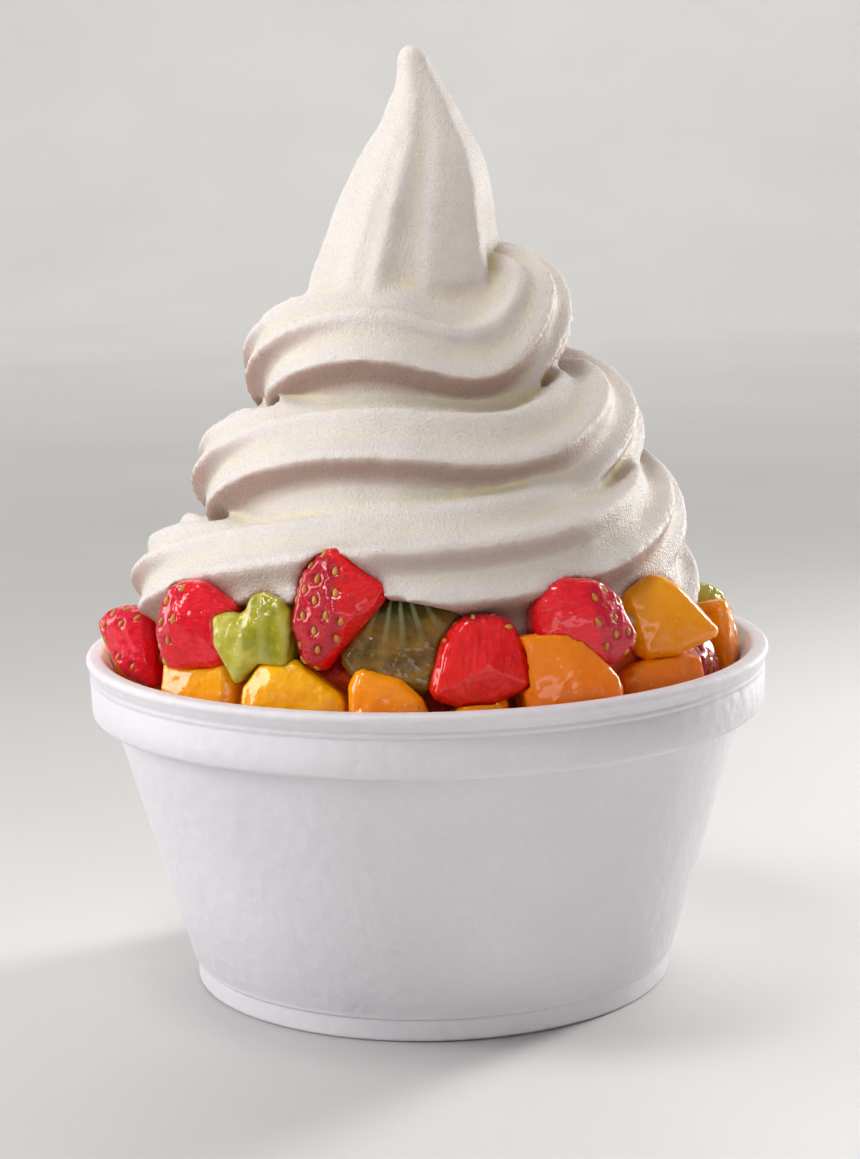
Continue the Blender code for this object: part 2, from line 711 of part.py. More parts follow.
def make_cup(collection, materials):
    cup = turned("foam_cup", cup_profile(), CUP_STEPS, collection, materials["foam"])
    apply_modifiers(cup)
    return cup


def make_fruit(collection, cutters, room, materials):
    """Every piece of fruit, front ones whole and each later one cut where it meets an earlier one."""
    draw = random.Random(7)
    rows = FRONT_FRUIT + [back_row(*place, draw) for place in BACK_FRUIT]
    counts = {"strawberry": 0, "mango": 0, "kiwi": 0}
    made, facings = [], []
    for row in rows:
        kind = row[0]
        counts[kind] += 1
        piece = make_chunk(f"{kind}_{counts[kind]:02d}", row, collection, materials[kind])
        clearance = make_chunk(piece.name + "_clearance", row, cutters, None, GAP)
        in_yogurt = make_chunk(piece.name + "_pocket", row, cutters, None, 1.5 * GAP, POCKET_AHEAD)
        for cutter in (clearance, in_yogurt):
            cutter.hide_render = True
            cutter.display_type = "WIRE"
        round_edges(piece, EDGE_ROUND[kind])
        boolean(piece, "INTERSECT", room)
        for _, cutter, _ in made:
            if near(piece, cutter):
                boolean(piece, "DIFFERENCE", cutter)
        largest_body(piece)
        made.append((piece, clearance, in_yogurt))
        facings.append(row[7] if len(row) > 7 else None)
    return made, facings


def make_yogurt(collection, fruit, room, materials):
    """The fill, the swirl and the peak joined, and cut clear of the fruit."""
    parts = new_collection("joined")
    fill = turned("frozen_yogurt", fill_profile(), CUP_STEPS, collection, materials["yogurt"])
    apply_modifiers(fill)
    for name, (vertices, faces) in (
        ("swirl", swirl_mesh(STEPS_PER_TURN)),
        ("peak", peak_mesh()),
    ):
        mesh = bpy.data.meshes.new(name)
        mesh.from_pydata(vertices, [], faces)
        build = bmesh.new()
        build.from_mesh(mesh)
        bmesh.ops.recalc_face_normals(build, faces=build.faces)
        build.to_mesh(mesh)
        build.free()
        object_from_mesh(name, mesh, parts, None)
    boolean(fill, "UNION", collection=parts)
    for obj in list(parts.objects):
        bpy.data.objects.remove(obj)
    boolean(fill, "INTERSECT", room)
    # The pockets are cut with the MANIFOLD solver, as EXACT leaves open edges where pockets meet
    for _, _, cutter in fruit:
        boolean(fill, "DIFFERENCE", cutter, solver="MANIFOLD")
    largest_body(fill)
    return fill


def main():
    clear_scene()
    collection = new_collection("frozen_yogurt_cup")
    cutters = new_collection("cutters")
    cutters.hide_render = True
    shapers = new_collection("shapers")
    materials = make_materials()
    make_cup(collection, materials)
    room = turned("room", room_profile(), CUP_STEPS, shapers, None)
    apply_modifiers(room)
    fruit, facings = make_fruit(collection, cutters, room, materials)
    make_yogurt(collection, fruit, room, materials)
    for (piece, _, _), facing in zip(fruit, facings):
        if facing:
            add_seeds(piece, facing, [other for other in collection.objects if other != piece], shapers)
    bpy.data.objects.remove(room)
    for obj in collection.objects:
        obj.data.shade_smooth()
        obj.data.set_sharp_from_angle(angle=math.radians(SMOOTH_ANGLE))


main()
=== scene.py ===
# %% [markdown]
# # Frozen yogurt with fruit in a foam cup
# This lesson dresses a imported model of a cup of frozen yogurt. Its solids give the size and place of
# every piece. Each step makes one kind of piece in more detail than its solid, gives it a finish made of
# nodes, and hides the solid that it stands for.

# %% Load the imported model
import math
import random

import bmesh
import bpy
import numpy as np
from mathutils import Matrix, Vector


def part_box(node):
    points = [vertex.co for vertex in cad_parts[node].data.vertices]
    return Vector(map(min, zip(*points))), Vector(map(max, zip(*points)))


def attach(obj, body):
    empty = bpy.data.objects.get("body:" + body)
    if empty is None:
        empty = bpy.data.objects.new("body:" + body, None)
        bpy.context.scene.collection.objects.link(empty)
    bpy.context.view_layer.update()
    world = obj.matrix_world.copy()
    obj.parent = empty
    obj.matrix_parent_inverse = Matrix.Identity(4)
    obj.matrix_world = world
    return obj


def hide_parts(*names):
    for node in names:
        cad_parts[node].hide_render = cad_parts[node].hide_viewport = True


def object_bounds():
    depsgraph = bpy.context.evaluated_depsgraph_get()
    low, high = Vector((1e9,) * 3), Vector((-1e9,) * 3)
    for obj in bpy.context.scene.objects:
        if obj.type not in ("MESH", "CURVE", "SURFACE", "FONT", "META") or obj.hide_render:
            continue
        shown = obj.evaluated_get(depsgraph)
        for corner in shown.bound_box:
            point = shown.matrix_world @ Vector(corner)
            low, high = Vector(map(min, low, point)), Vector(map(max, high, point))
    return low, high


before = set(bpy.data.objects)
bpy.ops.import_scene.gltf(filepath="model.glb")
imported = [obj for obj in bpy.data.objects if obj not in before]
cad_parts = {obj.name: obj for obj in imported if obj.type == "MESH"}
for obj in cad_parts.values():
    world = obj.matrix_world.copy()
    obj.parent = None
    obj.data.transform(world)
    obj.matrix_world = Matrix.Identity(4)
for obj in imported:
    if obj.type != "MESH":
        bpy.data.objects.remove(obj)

MM = 0.001
UP = Vector((0.0, 0.0, 1.0))


def in_mm(values):
    """Metres as rounded millimetres, for printing."""
    return [round(value / MM, 1) for value in values]


cad_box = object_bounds()
print("solids from", in_mm(cad_box[0]), "to", in_mm(cad_box[1]), "mm")

# %% [markdown]
# ## The camera
# The photograph looks a little down on the cup from close by. The camera was found by fitting the
# ellipses of the lip and the foot, so it is given as a place, a direction and an up direction.

# %% Camera
PHOTO_HEIGHT_PX = 1159
FOCAL_LENGTH_PX = 2547.96
SENSOR_HEIGHT = 36.0
NEAREST_SEEN = 0.01
CAMERA_PLACE = Vector((0.0, -0.431974, 0.143654))
CAMERA_RIGHT = Vector((0.99976885, -0.00533248, -0.02082824))
CAMERA_UP = Vector((0.02143464, 0.17171272, 0.98491385))
CAMERA_AHEAD = Vector((0.00167556, 0.98513263, -0.17178733))


def make_camera():
    camera = bpy.data.cameras.new("camera")
    camera.sensor_fit = "VERTICAL"
    camera.sensor_height = SENSOR_HEIGHT
    camera.lens = FOCAL_LENGTH_PX / PHOTO_HEIGHT_PX * SENSOR_HEIGHT
    camera.clip_start = NEAREST_SEEN
    holder = bpy.data.objects.new("camera", camera)
    bpy.context.scene.collection.objects.link(holder)
    turned = Matrix((CAMERA_RIGHT, CAMERA_UP, -CAMERA_AHEAD)).transposed().to_4x4()
    holder.matrix_world = Matrix.Translation(CAMERA_PLACE) @ turned
    bpy.context.scene.camera = holder
    return camera


print(f"lens {make_camera().lens:.1f} mm on a sensor {SENSOR_HEIGHT:.0f} mm high")

# %% [markdown]
# ## The light
# A tall bright window stands at the left, and a weak light low in front fills the shade. A narrow strip
# at the front left makes the crisp glints on the wet fruit. A low light from behind at the right draws
# the wet edges, and one from above picks out the tops of the ridges. A light of its own turns the
# backdrop pale without reaching the cup.

# %% World and lights
ROOM_STRENGTH = 0.09
ROOM_COLOUR = (1.0, 0.95, 0.92, 1.0)
SWIRL_MIDDLE = (0.0, 0.0, 0.08)
# Name, place, width and height in metres, power in watts, colour, and the place that it is aimed at
LIGHTS = [
    ("window", (-0.50, -0.02, 0.22), (0.24, 0.36), 1.75, (0.99, 0.99, 1.0), SWIRL_MIDDLE),
    ("strip_light", (-0.34, -0.36, 0.32), (0.03, 0.26), 0.36, (1.0, 1.0, 1.0), SWIRL_MIDDLE),
    ("back_light", (0.40, 0.32, 0.15), (0.12, 0.22), 2.0, (1.0, 0.99, 0.97), SWIRL_MIDDLE),
    ("high_light", (-0.10, -0.10, 0.48), (0.12, 0.12), 0.68, (1.0, 0.98, 0.95), SWIRL_MIDDLE),
    ("front_fill", (0.16, -0.62, 0.08), (0.40, 0.14), 0.4, (1.0, 0.93, 0.90), SWIRL_MIDDLE),
    ("backdrop_light", (0.0, 1.8, 1.7), (2.2, 1.2), 21.0, (1.0, 0.99, 0.98), (0.0, 2.1, 0.0)),
]


def area_light(name, place, size, power, colour, target):
    light = bpy.data.lights.new(name, "AREA")
    light.shape = "RECTANGLE"
    light.size, light.size_y = size
    light.energy = power
    light.color = colour
    holder = bpy.data.objects.new(name, light)
    bpy.context.scene.collection.objects.link(holder)
    holder.location = place
    direction = Vector(target) - Vector(place)
    holder.rotation_euler = direction.to_track_quat("-Z", "Y").to_euler()


def make_world():
    world = bpy.data.worlds.new("room")
    world.use_nodes = True
    background = world.node_tree.nodes["Background"]
    background.inputs["Color"].default_value = ROOM_COLOUR
    background.inputs["Strength"].default_value = ROOM_STRENGTH
    bpy.context.scene.world = world


make_world()
for light in LIGHTS:
    area_light(*light)
bpy.context.scene.view_settings.view_transform = "Standard"
print("lights:", ", ".join(name for name, *_ in LIGHTS))

# %% [markdown]
# ## Small tools
# The same few operators are used on every piece, so they get short names here. An operator acts on all
# that is selected, and the solids come in selected, so what a step works on is always picked out first.

# %% Picking, merging and applying
def pick(obj, *others):
    """Selects these objects and nothing else, with the first one active."""
    if bpy.context.object and bpy.context.object.mode != "OBJECT":
        bpy.ops.object.mode_set(mode="OBJECT")
    bpy.ops.object.select_all(action="DESELECT")
    for each in (obj, *others):
        each.select_set(True)
    bpy.context.view_layer.objects.active = obj


def in_edit_mode(obj, *steps):
    """Runs mesh operators on the whole of one object."""
    pick(obj)
    bpy.ops.object.mode_set(mode="EDIT")
    bpy.ops.mesh.select_all(action="SELECT")
    for step in steps:
        step()
    bpy.ops.object.mode_set(mode="OBJECT")


def merge_close(distance=0.01):
    """Merges points that are closer than a distance in millimetres."""
    bpy.ops.mesh.remove_doubles(threshold=distance * MM)


def face_outwards():
    bpy.ops.mesh.normals_make_consistent(inside=False)


def apply_modifier(obj, kind, **settings):
    """Adds one modifier with its settings and applies it."""
    pick(obj)
    modifier = obj.modifiers.new(kind.lower(), kind)
    for name, value in settings.items():
        setattr(modifier, name, value)
    bpy.ops.object.modifier_apply(modifier=modifier.name)


def remesh(obj, voxel):
    apply_modifier(obj, "REMESH", mode="VOXEL", voxel_size=voxel * MM)


def soften(obj, passes):
    apply_modifier(obj, "SMOOTH", factor=0.5, iterations=passes)


def roughen(obj, scale, height, swell=0.0):
    """Moves the surface in and out by a soft noise, and all of it out by a swell, in millimetres."""
    noise = bpy.data.textures.new("unevenness", "CLOUDS")
    noise.noise_scale = scale * MM
    noise.noise_depth = 2
    apply_modifier(obj, "DISPLACE", texture=noise, texture_coords="LOCAL", mid_level=0.5 - swell / height,
                   strength=height * MM)


def copy_of(node, name):
    """A copy of a solid's mesh with its loose triangles merged."""
    obj = bpy.data.objects.new(name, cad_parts[node].data.copy())
    obj.data.materials.clear()
    bpy.context.scene.collection.objects.link(obj)
    in_edit_mode(obj, merge_close)
    return obj


def points_of(obj):
    """The places in millimetres and the directions of an object's vertices."""
    places, normals = np.empty((2, len(obj.data.vertices) * 3))
    obj.data.vertices.foreach_get("co", places)
    obj.data.vertices.foreach_get("normal", normals)
    return places.reshape(-1, 3) / MM, normals.reshape(-1, 3)


def place_points(obj, places):
    obj.data.vertices.foreach_set("co", (places * MM).ravel())
    obj.data.update()


def store(obj, name, *columns):
    """Keeps up to three numbers for each vertex on the mesh, for its finish to read."""
    values = np.ones((len(obj.data.vertices), 4))
    for index, column in enumerate(columns):
        values[:, index] = column
    obj.data.color_attributes.new(name, "FLOAT_COLOR", "POINT").data.foreach_set("color", values.ravel())


def dress(obj, material, nodes):
    """Gives a finished piece its material, hides the solids that it stands for, and sets the body it rides
    on.
    """
    obj.data.materials.clear()
    obj.data.materials.append(material)
    for polygon in obj.data.polygons:
        polygon.use_smooth = True
    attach(obj, "root")
    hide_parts(*nodes)


# %% [markdown]
# ## Building a material
# Each finish is a small tree of nodes round one shader. These helpers add a node, link it, and turn a
# colour that was judged on the photograph from screen values into the linear values of a shader. A
# helper gives back the socket that the next one reads, so a finish reads from top to bottom.

# %% Material helpers
def linear(red, green, blue):
    """A colour for a shader from screen values that go up to 255."""
    values = []
    for value in (red, green, blue):
        share = value / 255.0
        values.append(share / 12.92 if share <= 0.04045 else ((share + 0.055) / 1.055) ** 2.4)
    return (*values, 1.0)


class Finish:
    """A material under construction. Values for the shader's own sockets come by name."""

    def __init__(self, name, **sockets):
        self.material = bpy.data.materials.new(name)
        self.material.use_nodes = True
        self.tree = self.material.node_tree
        self.shader = self.tree.nodes["Principled BSDF"]
        for socket, value in sockets.items():
            self.shader.inputs[socket.replace("_", " ")].default_value = value
        self.place = self.node("ShaderNodeTexCoord").outputs["Object"]

    def node(self, kind, **settings):
        made = self.tree.nodes.new(kind)
        for name, value in settings.items():
            setattr(made, name, value)
        return made

    def link(self, source, target):
        self.tree.links.new(source, target)

    def noise(self, scale, detail=3.0, roughness=0.5, distortion=0.0, place=None):
        made = self.node("ShaderNodeTexNoise")
        made.inputs["Scale"].default_value = scale
        made.inputs["Detail"].default_value = detail
        made.inputs["Roughness"].default_value = roughness
        made.inputs["Distortion"].default_value = distortion
        self.link(place or self.place, made.inputs["Vector"])
        return made.outputs["Fac"]

    def cells(self, scale, feature="F1"):
        made = self.node("ShaderNodeTexVoronoi", feature=feature)
        made.inputs["Scale"].default_value = scale
        self.link(self.place, made.inputs["Vector"])
        return made.outputs["Distance"]

    def ramp(self, factor, *stops):
        """Colours at positions along a factor: (position, colour) pairs."""
        made = self.node("ShaderNodeValToRGB")
        elements = made.color_ramp.elements
        while len(elements) < len(stops):
            elements.new(0.5)
        for element, (position, colour) in zip(elements, stops):
            element.position = position
            element.color = colour
        self.link(factor, made.inputs["Fac"])
        return made.outputs["Color"]

    def grey(self, factor, *stops):
        """Plain values at positions along a factor: (position, value) pairs."""
        return self.ramp(factor, *((position, (value, value, value, 1.0)) for position, value in stops))

    def fill_in(self, sockets, values):
        """Gives each socket its value, which may be a number, a colour or another socket."""
        for socket, value in zip(sockets, values):
            if isinstance(value, (tuple, float)):
                socket.default_value = value
            else:
                self.link(value, socket)

    def mix(self, factor, first, second, blend="MIX"):
        """Mixes two colours. A mix node keeps its sockets for colours after those for numbers."""
        made = self.node("ShaderNodeMix", data_type="RGBA", blend_type=blend)
        self.fill_in((made.inputs[0], made.inputs[6], made.inputs[7]), (factor, first, second))
        return made.outputs[2]

    def math(self, operation, first, second):
        made = self.node("ShaderNodeMath", operation=operation)
        self.fill_in(made.inputs, (first, second))
        return made.outputs[0]

    def attribute(self, name):
        """The three numbers that are stored on the mesh under a name."""
        made = self.node("ShaderNodeAttribute", attribute_name=name)
        split = self.node("ShaderNodeSeparateColor")
        self.link(made.outputs["Color"], split.inputs["Color"])
        return split.outputs

    def fibres(self, along, across, detail=3.0, distortion=0.0):
        """Noise drawn out along the directions stored on the mesh: scales for each millimetre."""
        stored = self.node("ShaderNodeAttribute", attribute_name="fibres")
        squeeze = self.node("ShaderNodeMapping")
        squeeze.inputs["Scale"].default_value = (along, across, across)
        self.link(stored.outputs["Vector"], squeeze.inputs["Vector"])
        return self.noise(1.0, detail, 0.6, distortion, squeeze.outputs["Vector"])

    def ribs(self, spacing, distortion):
        """Bands that run along the directions stored on the mesh, so many millimetres apart.
        At scale 1 the texture's bands are pi / 10 apart."""
        stored = self.node("ShaderNodeAttribute", attribute_name="fibres")
        made = self.node("ShaderNodeTexWave", wave_type="BANDS", bands_direction="Y", wave_profile="SIN")
        made.inputs["Scale"].default_value = math.pi / 10.0 / spacing
        made.inputs["Distortion"].default_value = distortion
        made.inputs["Detail"].default_value = 2.0
        made.inputs["Detail Scale"].default_value = 0.6
        self.link(stored.outputs["Vector"], made.inputs["Vector"])
        return made.outputs["Fac"]

    def height(self, low, high):
        """How far up the cup a point is, 0 at the low height and 1 at the high one, in millimetres."""
        split = self.node("ShaderNodeSeparateXYZ")
        self.link(self.place, split.inputs[0])
        above = self.math("SUBTRACT", split.outputs["Z"], low * MM)
        return self.math("DIVIDE", above, (high - low) * MM)

    def bump(self, height, distance, strength=1.0, after=None):
        """Relief that a height gives, on top of another bump: distance in millimetres."""
        made = self.node("ShaderNodeBump")
        made.inputs["Distance"].default_value = distance * MM
        made.inputs["Strength"].default_value = strength
        self.link(height, made.inputs["Height"])
        if after:
            self.link(after, made.inputs["Normal"])
        return made.outputs["Normal"]

    def finish(self, colour, roughness=None, normal=None, coat_normal=None):
        """Links what the finish has to the shader, and gives the material."""
        names = ("Base Color", "Roughness", "Normal", "Coat Normal")
        for name, source in zip(names, (colour, roughness, normal, coat_normal)):
            if source is not None:
                self.link(source, self.shader.inputs[name])
        return self.material


# %% [markdown]
# ## The floor
# A plain pale floor isn't part of the object, but it catches the cup's shadow. Its far edge is extruded
# step by step along an arc into a backdrop, so that no horizon shows. A very faint noise in its colour
# keeps it from looking like a blank sheet.

# %% Floor
FLOOR_SIZE = 3.0
BACKDROP_STEPS = 16
BACKDROP_CURVE = 0.8


def floor_material():
    made = Finish("pale_floor", Roughness=0.6)
    shade = made.ramp(made.noise(6.0), (0.3, linear(220, 219, 218)), (0.7, linear(226, 225, 224)))
    return made.finish(colour=shade)


def make_floor():
    """A floor that curves up into a backdrop behind the cup, far enough away for a camera to pass."""
    bpy.ops.object.select_all(action="DESELECT")
    bpy.ops.mesh.primitive_plane_add(size=FLOOR_SIZE, location=(0.0, 0.0, 0.0))
    obj = bpy.context.object
    obj.name = "floor"
    for edge in obj.data.edges:
        edge.select = all(obj.data.vertices[i].co.y > 0 for i in edge.vertices)
    for vertex in obj.data.vertices:
        vertex.select = vertex.co.y > 0
    bpy.ops.object.mode_set(mode="EDIT")
    bpy.ops.mesh.select_mode(type="EDGE")
    for step in range(BACKDROP_STEPS):
        angle = math.radians(90.0 * (step + 0.5) / BACKDROP_STEPS)
        length = BACKDROP_CURVE * math.pi / 2 / BACKDROP_STEPS
        move = (0.0, length * math.cos(angle), length * math.sin(angle))
        bpy.ops.mesh.extrude_region_move(TRANSFORM_OT_translate={"value": move})
    bpy.ops.mesh.extrude_region_move(TRANSFORM_OT_translate={"value": (0.0, 0.0, FLOOR_SIZE / 2)})
    bpy.ops.mesh.select_mode(type="VERT")
    bpy.ops.object.mode_set(mode="OBJECT")
    obj.data.shade_smooth()
    obj.data.materials.append(floor_material())
    return obj


floor = make_floor()
print("floor", [round(size, 1) for size in floor.dimensions], "m")

# %% [markdown]
# ## The foam cup
# The real cup is moulded from beads of expanded foam, which leaves a faint leathery pattern on its skin.
# It is a turned shape, so its section is drawn point by point with extrude and turned with spin. The
# section has the parts that show: a foot ring, a straight tapered wall, a band, two fine grooves, a lip.

# %% Sizes of the cup
RIM_RADIUS = cad_box[1][0] / MM
CUP_HEIGHT = 57.8
FOOT_RADIUS = 41.3
FOOT_HEIGHT = 3.7
FOOT_RING_WIDTH = 4.2
FOOT_HOLLOW = 1.0
WALL_OVER_FOOT = 0.5
WALL_SLOPE = 0.287
WALL_THICKNESS = 2.6
FLOOR_TOP = 3.6
FLOOR_CORNER = 4.0
BAND_BOTTOM = 47.3
BAND_INSET = 0.55
BAND_TAPER = 0.15
BAND_ROUNDING = 1.2
LIP_WIDTH = 2.2
LIP_HEIGHT = 2.1
LIP_ROUNDING = 0.9
FILLET = 0.6
GROOVES = (54.9, 53.9)
GROOVE_DEPTH = 0.25
GROOVE_HALF_WIDTH = 0.25
TURN_STEPS = 192


def outer_wall(height):
    return FOOT_RADIUS + WALL_OVER_FOOT + WALL_SLOPE * (height - FOOT_HEIGHT)


def inner_wall(height):
    return outer_wall(height) - WALL_THICKNESS


def arc(centre, radius, start, end, points):
    """Points along an arc in the (radius, height) plane, angles in degrees."""
    angles = [math.radians(start + (end - start) * i / (points - 1)) for i in range(points)]
    return [(centre[0] + radius * math.cos(a), centre[1] + radius * math.sin(a)) for a in angles]


def groove(radius, height):
    """A fine groove, walked from its top edge to its bottom edge."""
    edges = [(radius, height + GROOVE_HALF_WIDTH), (radius, height - GROOVE_HALF_WIDTH)]
    return [edges[0], (radius - GROOVE_DEPTH, height), edges[1]]


def cup_section():
    """The cup's section in millimetres, from the middle of the floor inside to the middle outside."""
    corner = FLOOR_TOP + FLOOR_CORNER
    lip = CUP_HEIGHT - LIP_ROUNDING
    band = RIM_RADIUS - BAND_INSET
    under = BAND_BOTTOM - FILLET
    points = [(0.0, FLOOR_TOP)]
    points += arc((inner_wall(corner) - FLOOR_CORNER, corner), FLOOR_CORNER, -90, -16, 8)
    points += [(inner_wall(height), height) for height in (30.0, CUP_HEIGHT - LIP_WIDTH)]
    points += arc((RIM_RADIUS - LIP_WIDTH, lip), LIP_ROUNDING, 170, 92, 6)
    points += arc((RIM_RADIUS - LIP_ROUNDING, lip), LIP_ROUNDING, 88, -35, 9)
    points += [(band, CUP_HEIGHT - LIP_HEIGHT)]
    for height in GROOVES:
        points += groove(band, height)
    band -= BAND_TAPER
    points += [(band, BAND_BOTTOM + 2.0)]
    points += arc((band - BAND_ROUNDING, BAND_BOTTOM + BAND_ROUNDING), BAND_ROUNDING, -10, -90, 6)
    points += arc((outer_wall(under) + FILLET, under), FILLET, 95, 180, 5)
    points += [(outer_wall(height), height) for height in (35.0, 20.0, FOOT_HEIGHT + 2 * FILLET)]
    points += arc((FOOT_RADIUS - 0.1, FOOT_HEIGHT + FILLET), FILLET, 15, -80, 5)
    points += [(FOOT_RADIUS, FOOT_HEIGHT - 0.3), (FOOT_RADIUS, 0.8)]
    points += arc((FOOT_RADIUS - FILLET, FILLET), FILLET, 0, -90, 5)
    points += arc((FOOT_RADIUS - 3.5, 0.5), 0.5, -90, -180, 4)
    points += [(FOOT_RADIUS - FOOT_RING_WIDTH, FOOT_HOLLOW), (0.0, FOOT_HOLLOW)]
    return points


# %% [markdown]
# A spin needs a line of edges to turn. The line starts as one vertex, which a plane primitive merged to
# its middle gives, and grows by extruding that vertex to each next point of the section.

# %% Turning a section
def turned(name, section, steps):
    """A closed turned shape from a section that starts and ends on the axis."""
    start = (section[0][0] * MM, 0.0, section[0][1] * MM)
    bpy.ops.object.select_all(action="DESELECT")
    bpy.ops.mesh.primitive_plane_add(size=MM, location=(0.0, 0.0, 0.0))
    obj = bpy.context.object
    obj.name = name
    bpy.ops.object.mode_set(mode="EDIT")
    bpy.ops.mesh.merge(type="CENTER")
    bpy.ops.transform.translate(value=start)
    for before, after in zip(section, section[1:]):
        step = ((after[0] - before[0]) * MM, 0.0, (after[1] - before[1]) * MM)
        bpy.ops.mesh.extrude_region_move(TRANSFORM_OT_translate={"value": step})
    bpy.ops.mesh.select_all(action="SELECT")
    bpy.ops.mesh.spin(steps=steps, angle=2 * math.pi, center=(0.0, 0.0, 0.0), axis=(0.0, 0.0, 1.0))
    bpy.ops.mesh.select_all(action="SELECT")
    merge_close(0.005)
    face_outwards()
    bpy.ops.object.mode_set(mode="OBJECT")
    return obj


# %% [markdown]
# Each bead of the foam bulges a little between fine seams, which a cell texture gives as relief. Finer
# noise on top breaks up its dull shine, and a little light sinks into it, as foam is never quite solid.

# %% The foam's finish
BEADS_A_METRE = 420.0


def foam_material():
    made = Finish("white_foam", IOR=1.4, Subsurface_Weight=0.15, Subsurface_Scale=0.002,
                  Subsurface_Radius=(1.0, 0.95, 0.9))
    beads = made.cells(BEADS_A_METRE, "SMOOTH_F1")
    edges = made.cells(BEADS_A_METRE, "DISTANCE_TO_EDGE")
    skin = made.noise(900.0, 4.0, 0.6)
    tint = made.ramp(made.noise(60.0), (0.3, linear(220, 217, 222)), (0.7, linear(225, 222, 227)))
    seams = made.grey(edges, (0.0, 0.985), (0.12, 1.0))
    colour = made.mix(1.0, tint, seams, "MULTIPLY")
    rough = made.grey(skin, (0.3, 0.5), (0.7, 0.64))
    low = made.bump(beads, 0.34, 0.6)
    return made.finish(colour=colour, roughness=rough, normal=made.bump(skin, 0.16, 0.6, low))


cup = turned("cup_of_foam", cup_section(), TURN_STEPS)
dress(cup, foam_material(), ["foam_cup"])
print("cup", in_mm(cup.dimensions), "mm,", len(cup.data.polygons), "faces")

# %% [markdown]
# ## The swirl of yogurt
# A star-shaped nozzle lays a ridged rope in turns that shrink towards the middle, and each turn leans on
# the one below. No operator sweeps a section that changes as it goes, so a grid primitive is rolled up:
# each of its vertices goes to a place along the rope and round its section. The course of the rope is
# the solid's own, with the same few turns and sizes.

# %% The rope's course
# Turn, radius and height of the rope's middle, radius of its section. A whole turn is at the left.
ROPE = [
    (-1.00, 36.0, 57.0, 12.0),
    (-0.75, 35.0, 61.0, 12.0),
    (-0.50, 35.8, 66.0, 12.2),
    (-0.25, 37.5, 68.0, 12.2),
    (0.00, 38.7, 68.5, 12.4),
    (0.25, 36.8, 75.0, 12.6),
    (0.50, 32.6, 79.5, 12.4),
    (0.75, 30.0, 83.0, 12.3),
    (1.00, 27.8, 87.0, 12.3),
    (1.25, 27.0, 92.0, 12.3),
    (1.50, 25.8, 94.5, 12.3),
    (1.75, 22.5, 100.0, 12.0),
    (2.00, 19.2, 106.0, 11.8),
    (2.25, 16.5, 109.2, 11.5),
    (2.50, 14.8, 114.0, 11.5),
    (2.75, 9.5, 117.0, 10.6),
    (3.00, 4.5, 118.0, 9.0),
    (3.25, 2.5, 118.0, 6.0),
]
RIDGES = 8
RIDGE_DEPTH = 0.20
RIDGE_CLIMB = 300.0
CLIMB_UNEVENNESS = 1.15
RIDGE_AT_FRONT = (1.25, 18.0)
CREST_SOFTNESS = 0.3
# Where the rope sags between the front and the right: turn, half length in turns, depth
SAGS = [(1.32, 0.08, 3.2), (2.32, 0.08, 5.4)]


def sag(turn):
    """How far the rope hangs below its course."""
    return sum(depth * math.exp(-(((turn - middle) / width) ** 2)) for middle, width, depth in SAGS)


def smooth_between(rows, at):
    """A smooth curve through rows whose first value is evenly spaced."""
    step = rows[1][0] - rows[0][0]
    place = min(max((at - rows[0][0]) / step, 0.0), len(rows) - 1.000001)
    i = int(place)
    f = place - i
    a, b, c, d = (rows[min(max(j, 0), len(rows) - 1)] for j in (i - 1, i, i + 1, i + 2))
    return [
        0.5 * (2 * q + (r - p) * f + (2 * p - 5 * q + 4 * r - s) * f**2 + (3 * q - p - 3 * r + s) * f**3)
        for p, q, r, s in zip(a[1:], b[1:], c[1:], d[1:])
    ]


def ridged(turn, radius, angle):
    """Radius of the rope's section at an angle in degrees, 0 outwards and 90 up."""
    past = turn - RIDGE_AT_FRONT[0]
    climbed = past - CLIMB_UNEVENNESS * math.sin(4 * math.pi * past) / (4 * math.pi)
    along = ((angle - RIDGE_AT_FRONT[1] - RIDGE_CLIMB * climbed) * RIDGES / 360.0) % 1.0
    crisp = 4.0 * along * (1.0 - along)
    soft = 0.5 - 0.5 * math.cos(2 * math.pi * along)
    return radius * (1.0 - RIDGE_DEPTH * (crisp + (soft - crisp) * CREST_SOFTNESS))


def on_rope(u, v):
    """The point at a share of the way along the rope and round its section."""
    turn = ROPE[0][0] + u * (ROPE[-1][0] - ROPE[0][0])
    ring, height, radius = smooth_between(ROPE, turn)
    angle = 360.0 * v
    reach = ridged(turn, radius, angle)
    out = ring + reach * math.cos(math.radians(angle))
    about = math.radians(180.0 + 360.0 * turn)
    up = height - sag(turn) + reach * math.sin(math.radians(angle))
    return Vector((out * math.cos(about), out * math.sin(about), up)) * MM


# %% [markdown]
# The last turn is pulled up to a point with folded sides. Its crests are sharp and unevenly spaced, with
# hollows between them, and they wind a little as they rise.

# %% The peak's course
# Height, radius and sideways lean of the peak, evenly counted from its foot.
PEAK = [
    (108.0, 12.0, -2.0),
    (114.0, 16.6, -2.2),
    (118.5, 17.2, -2.0),
    (123.5, 16.2, -1.5),
    (128.2, 14.9, -0.8),
    (132.8, 13.9, -0.2),
    (137.4, 12.3, 0.5),
    (141.5, 10.4, 1.0),
    (145.2, 8.0, 1.1),
    (148.8, 6.2, 1.1),
    (151.8, 4.6, 0.8),
    (155.0, 3.3, 0.1),
    (157.4, 2.5, -0.4),
    (158.5, 1.3, -0.5),
]
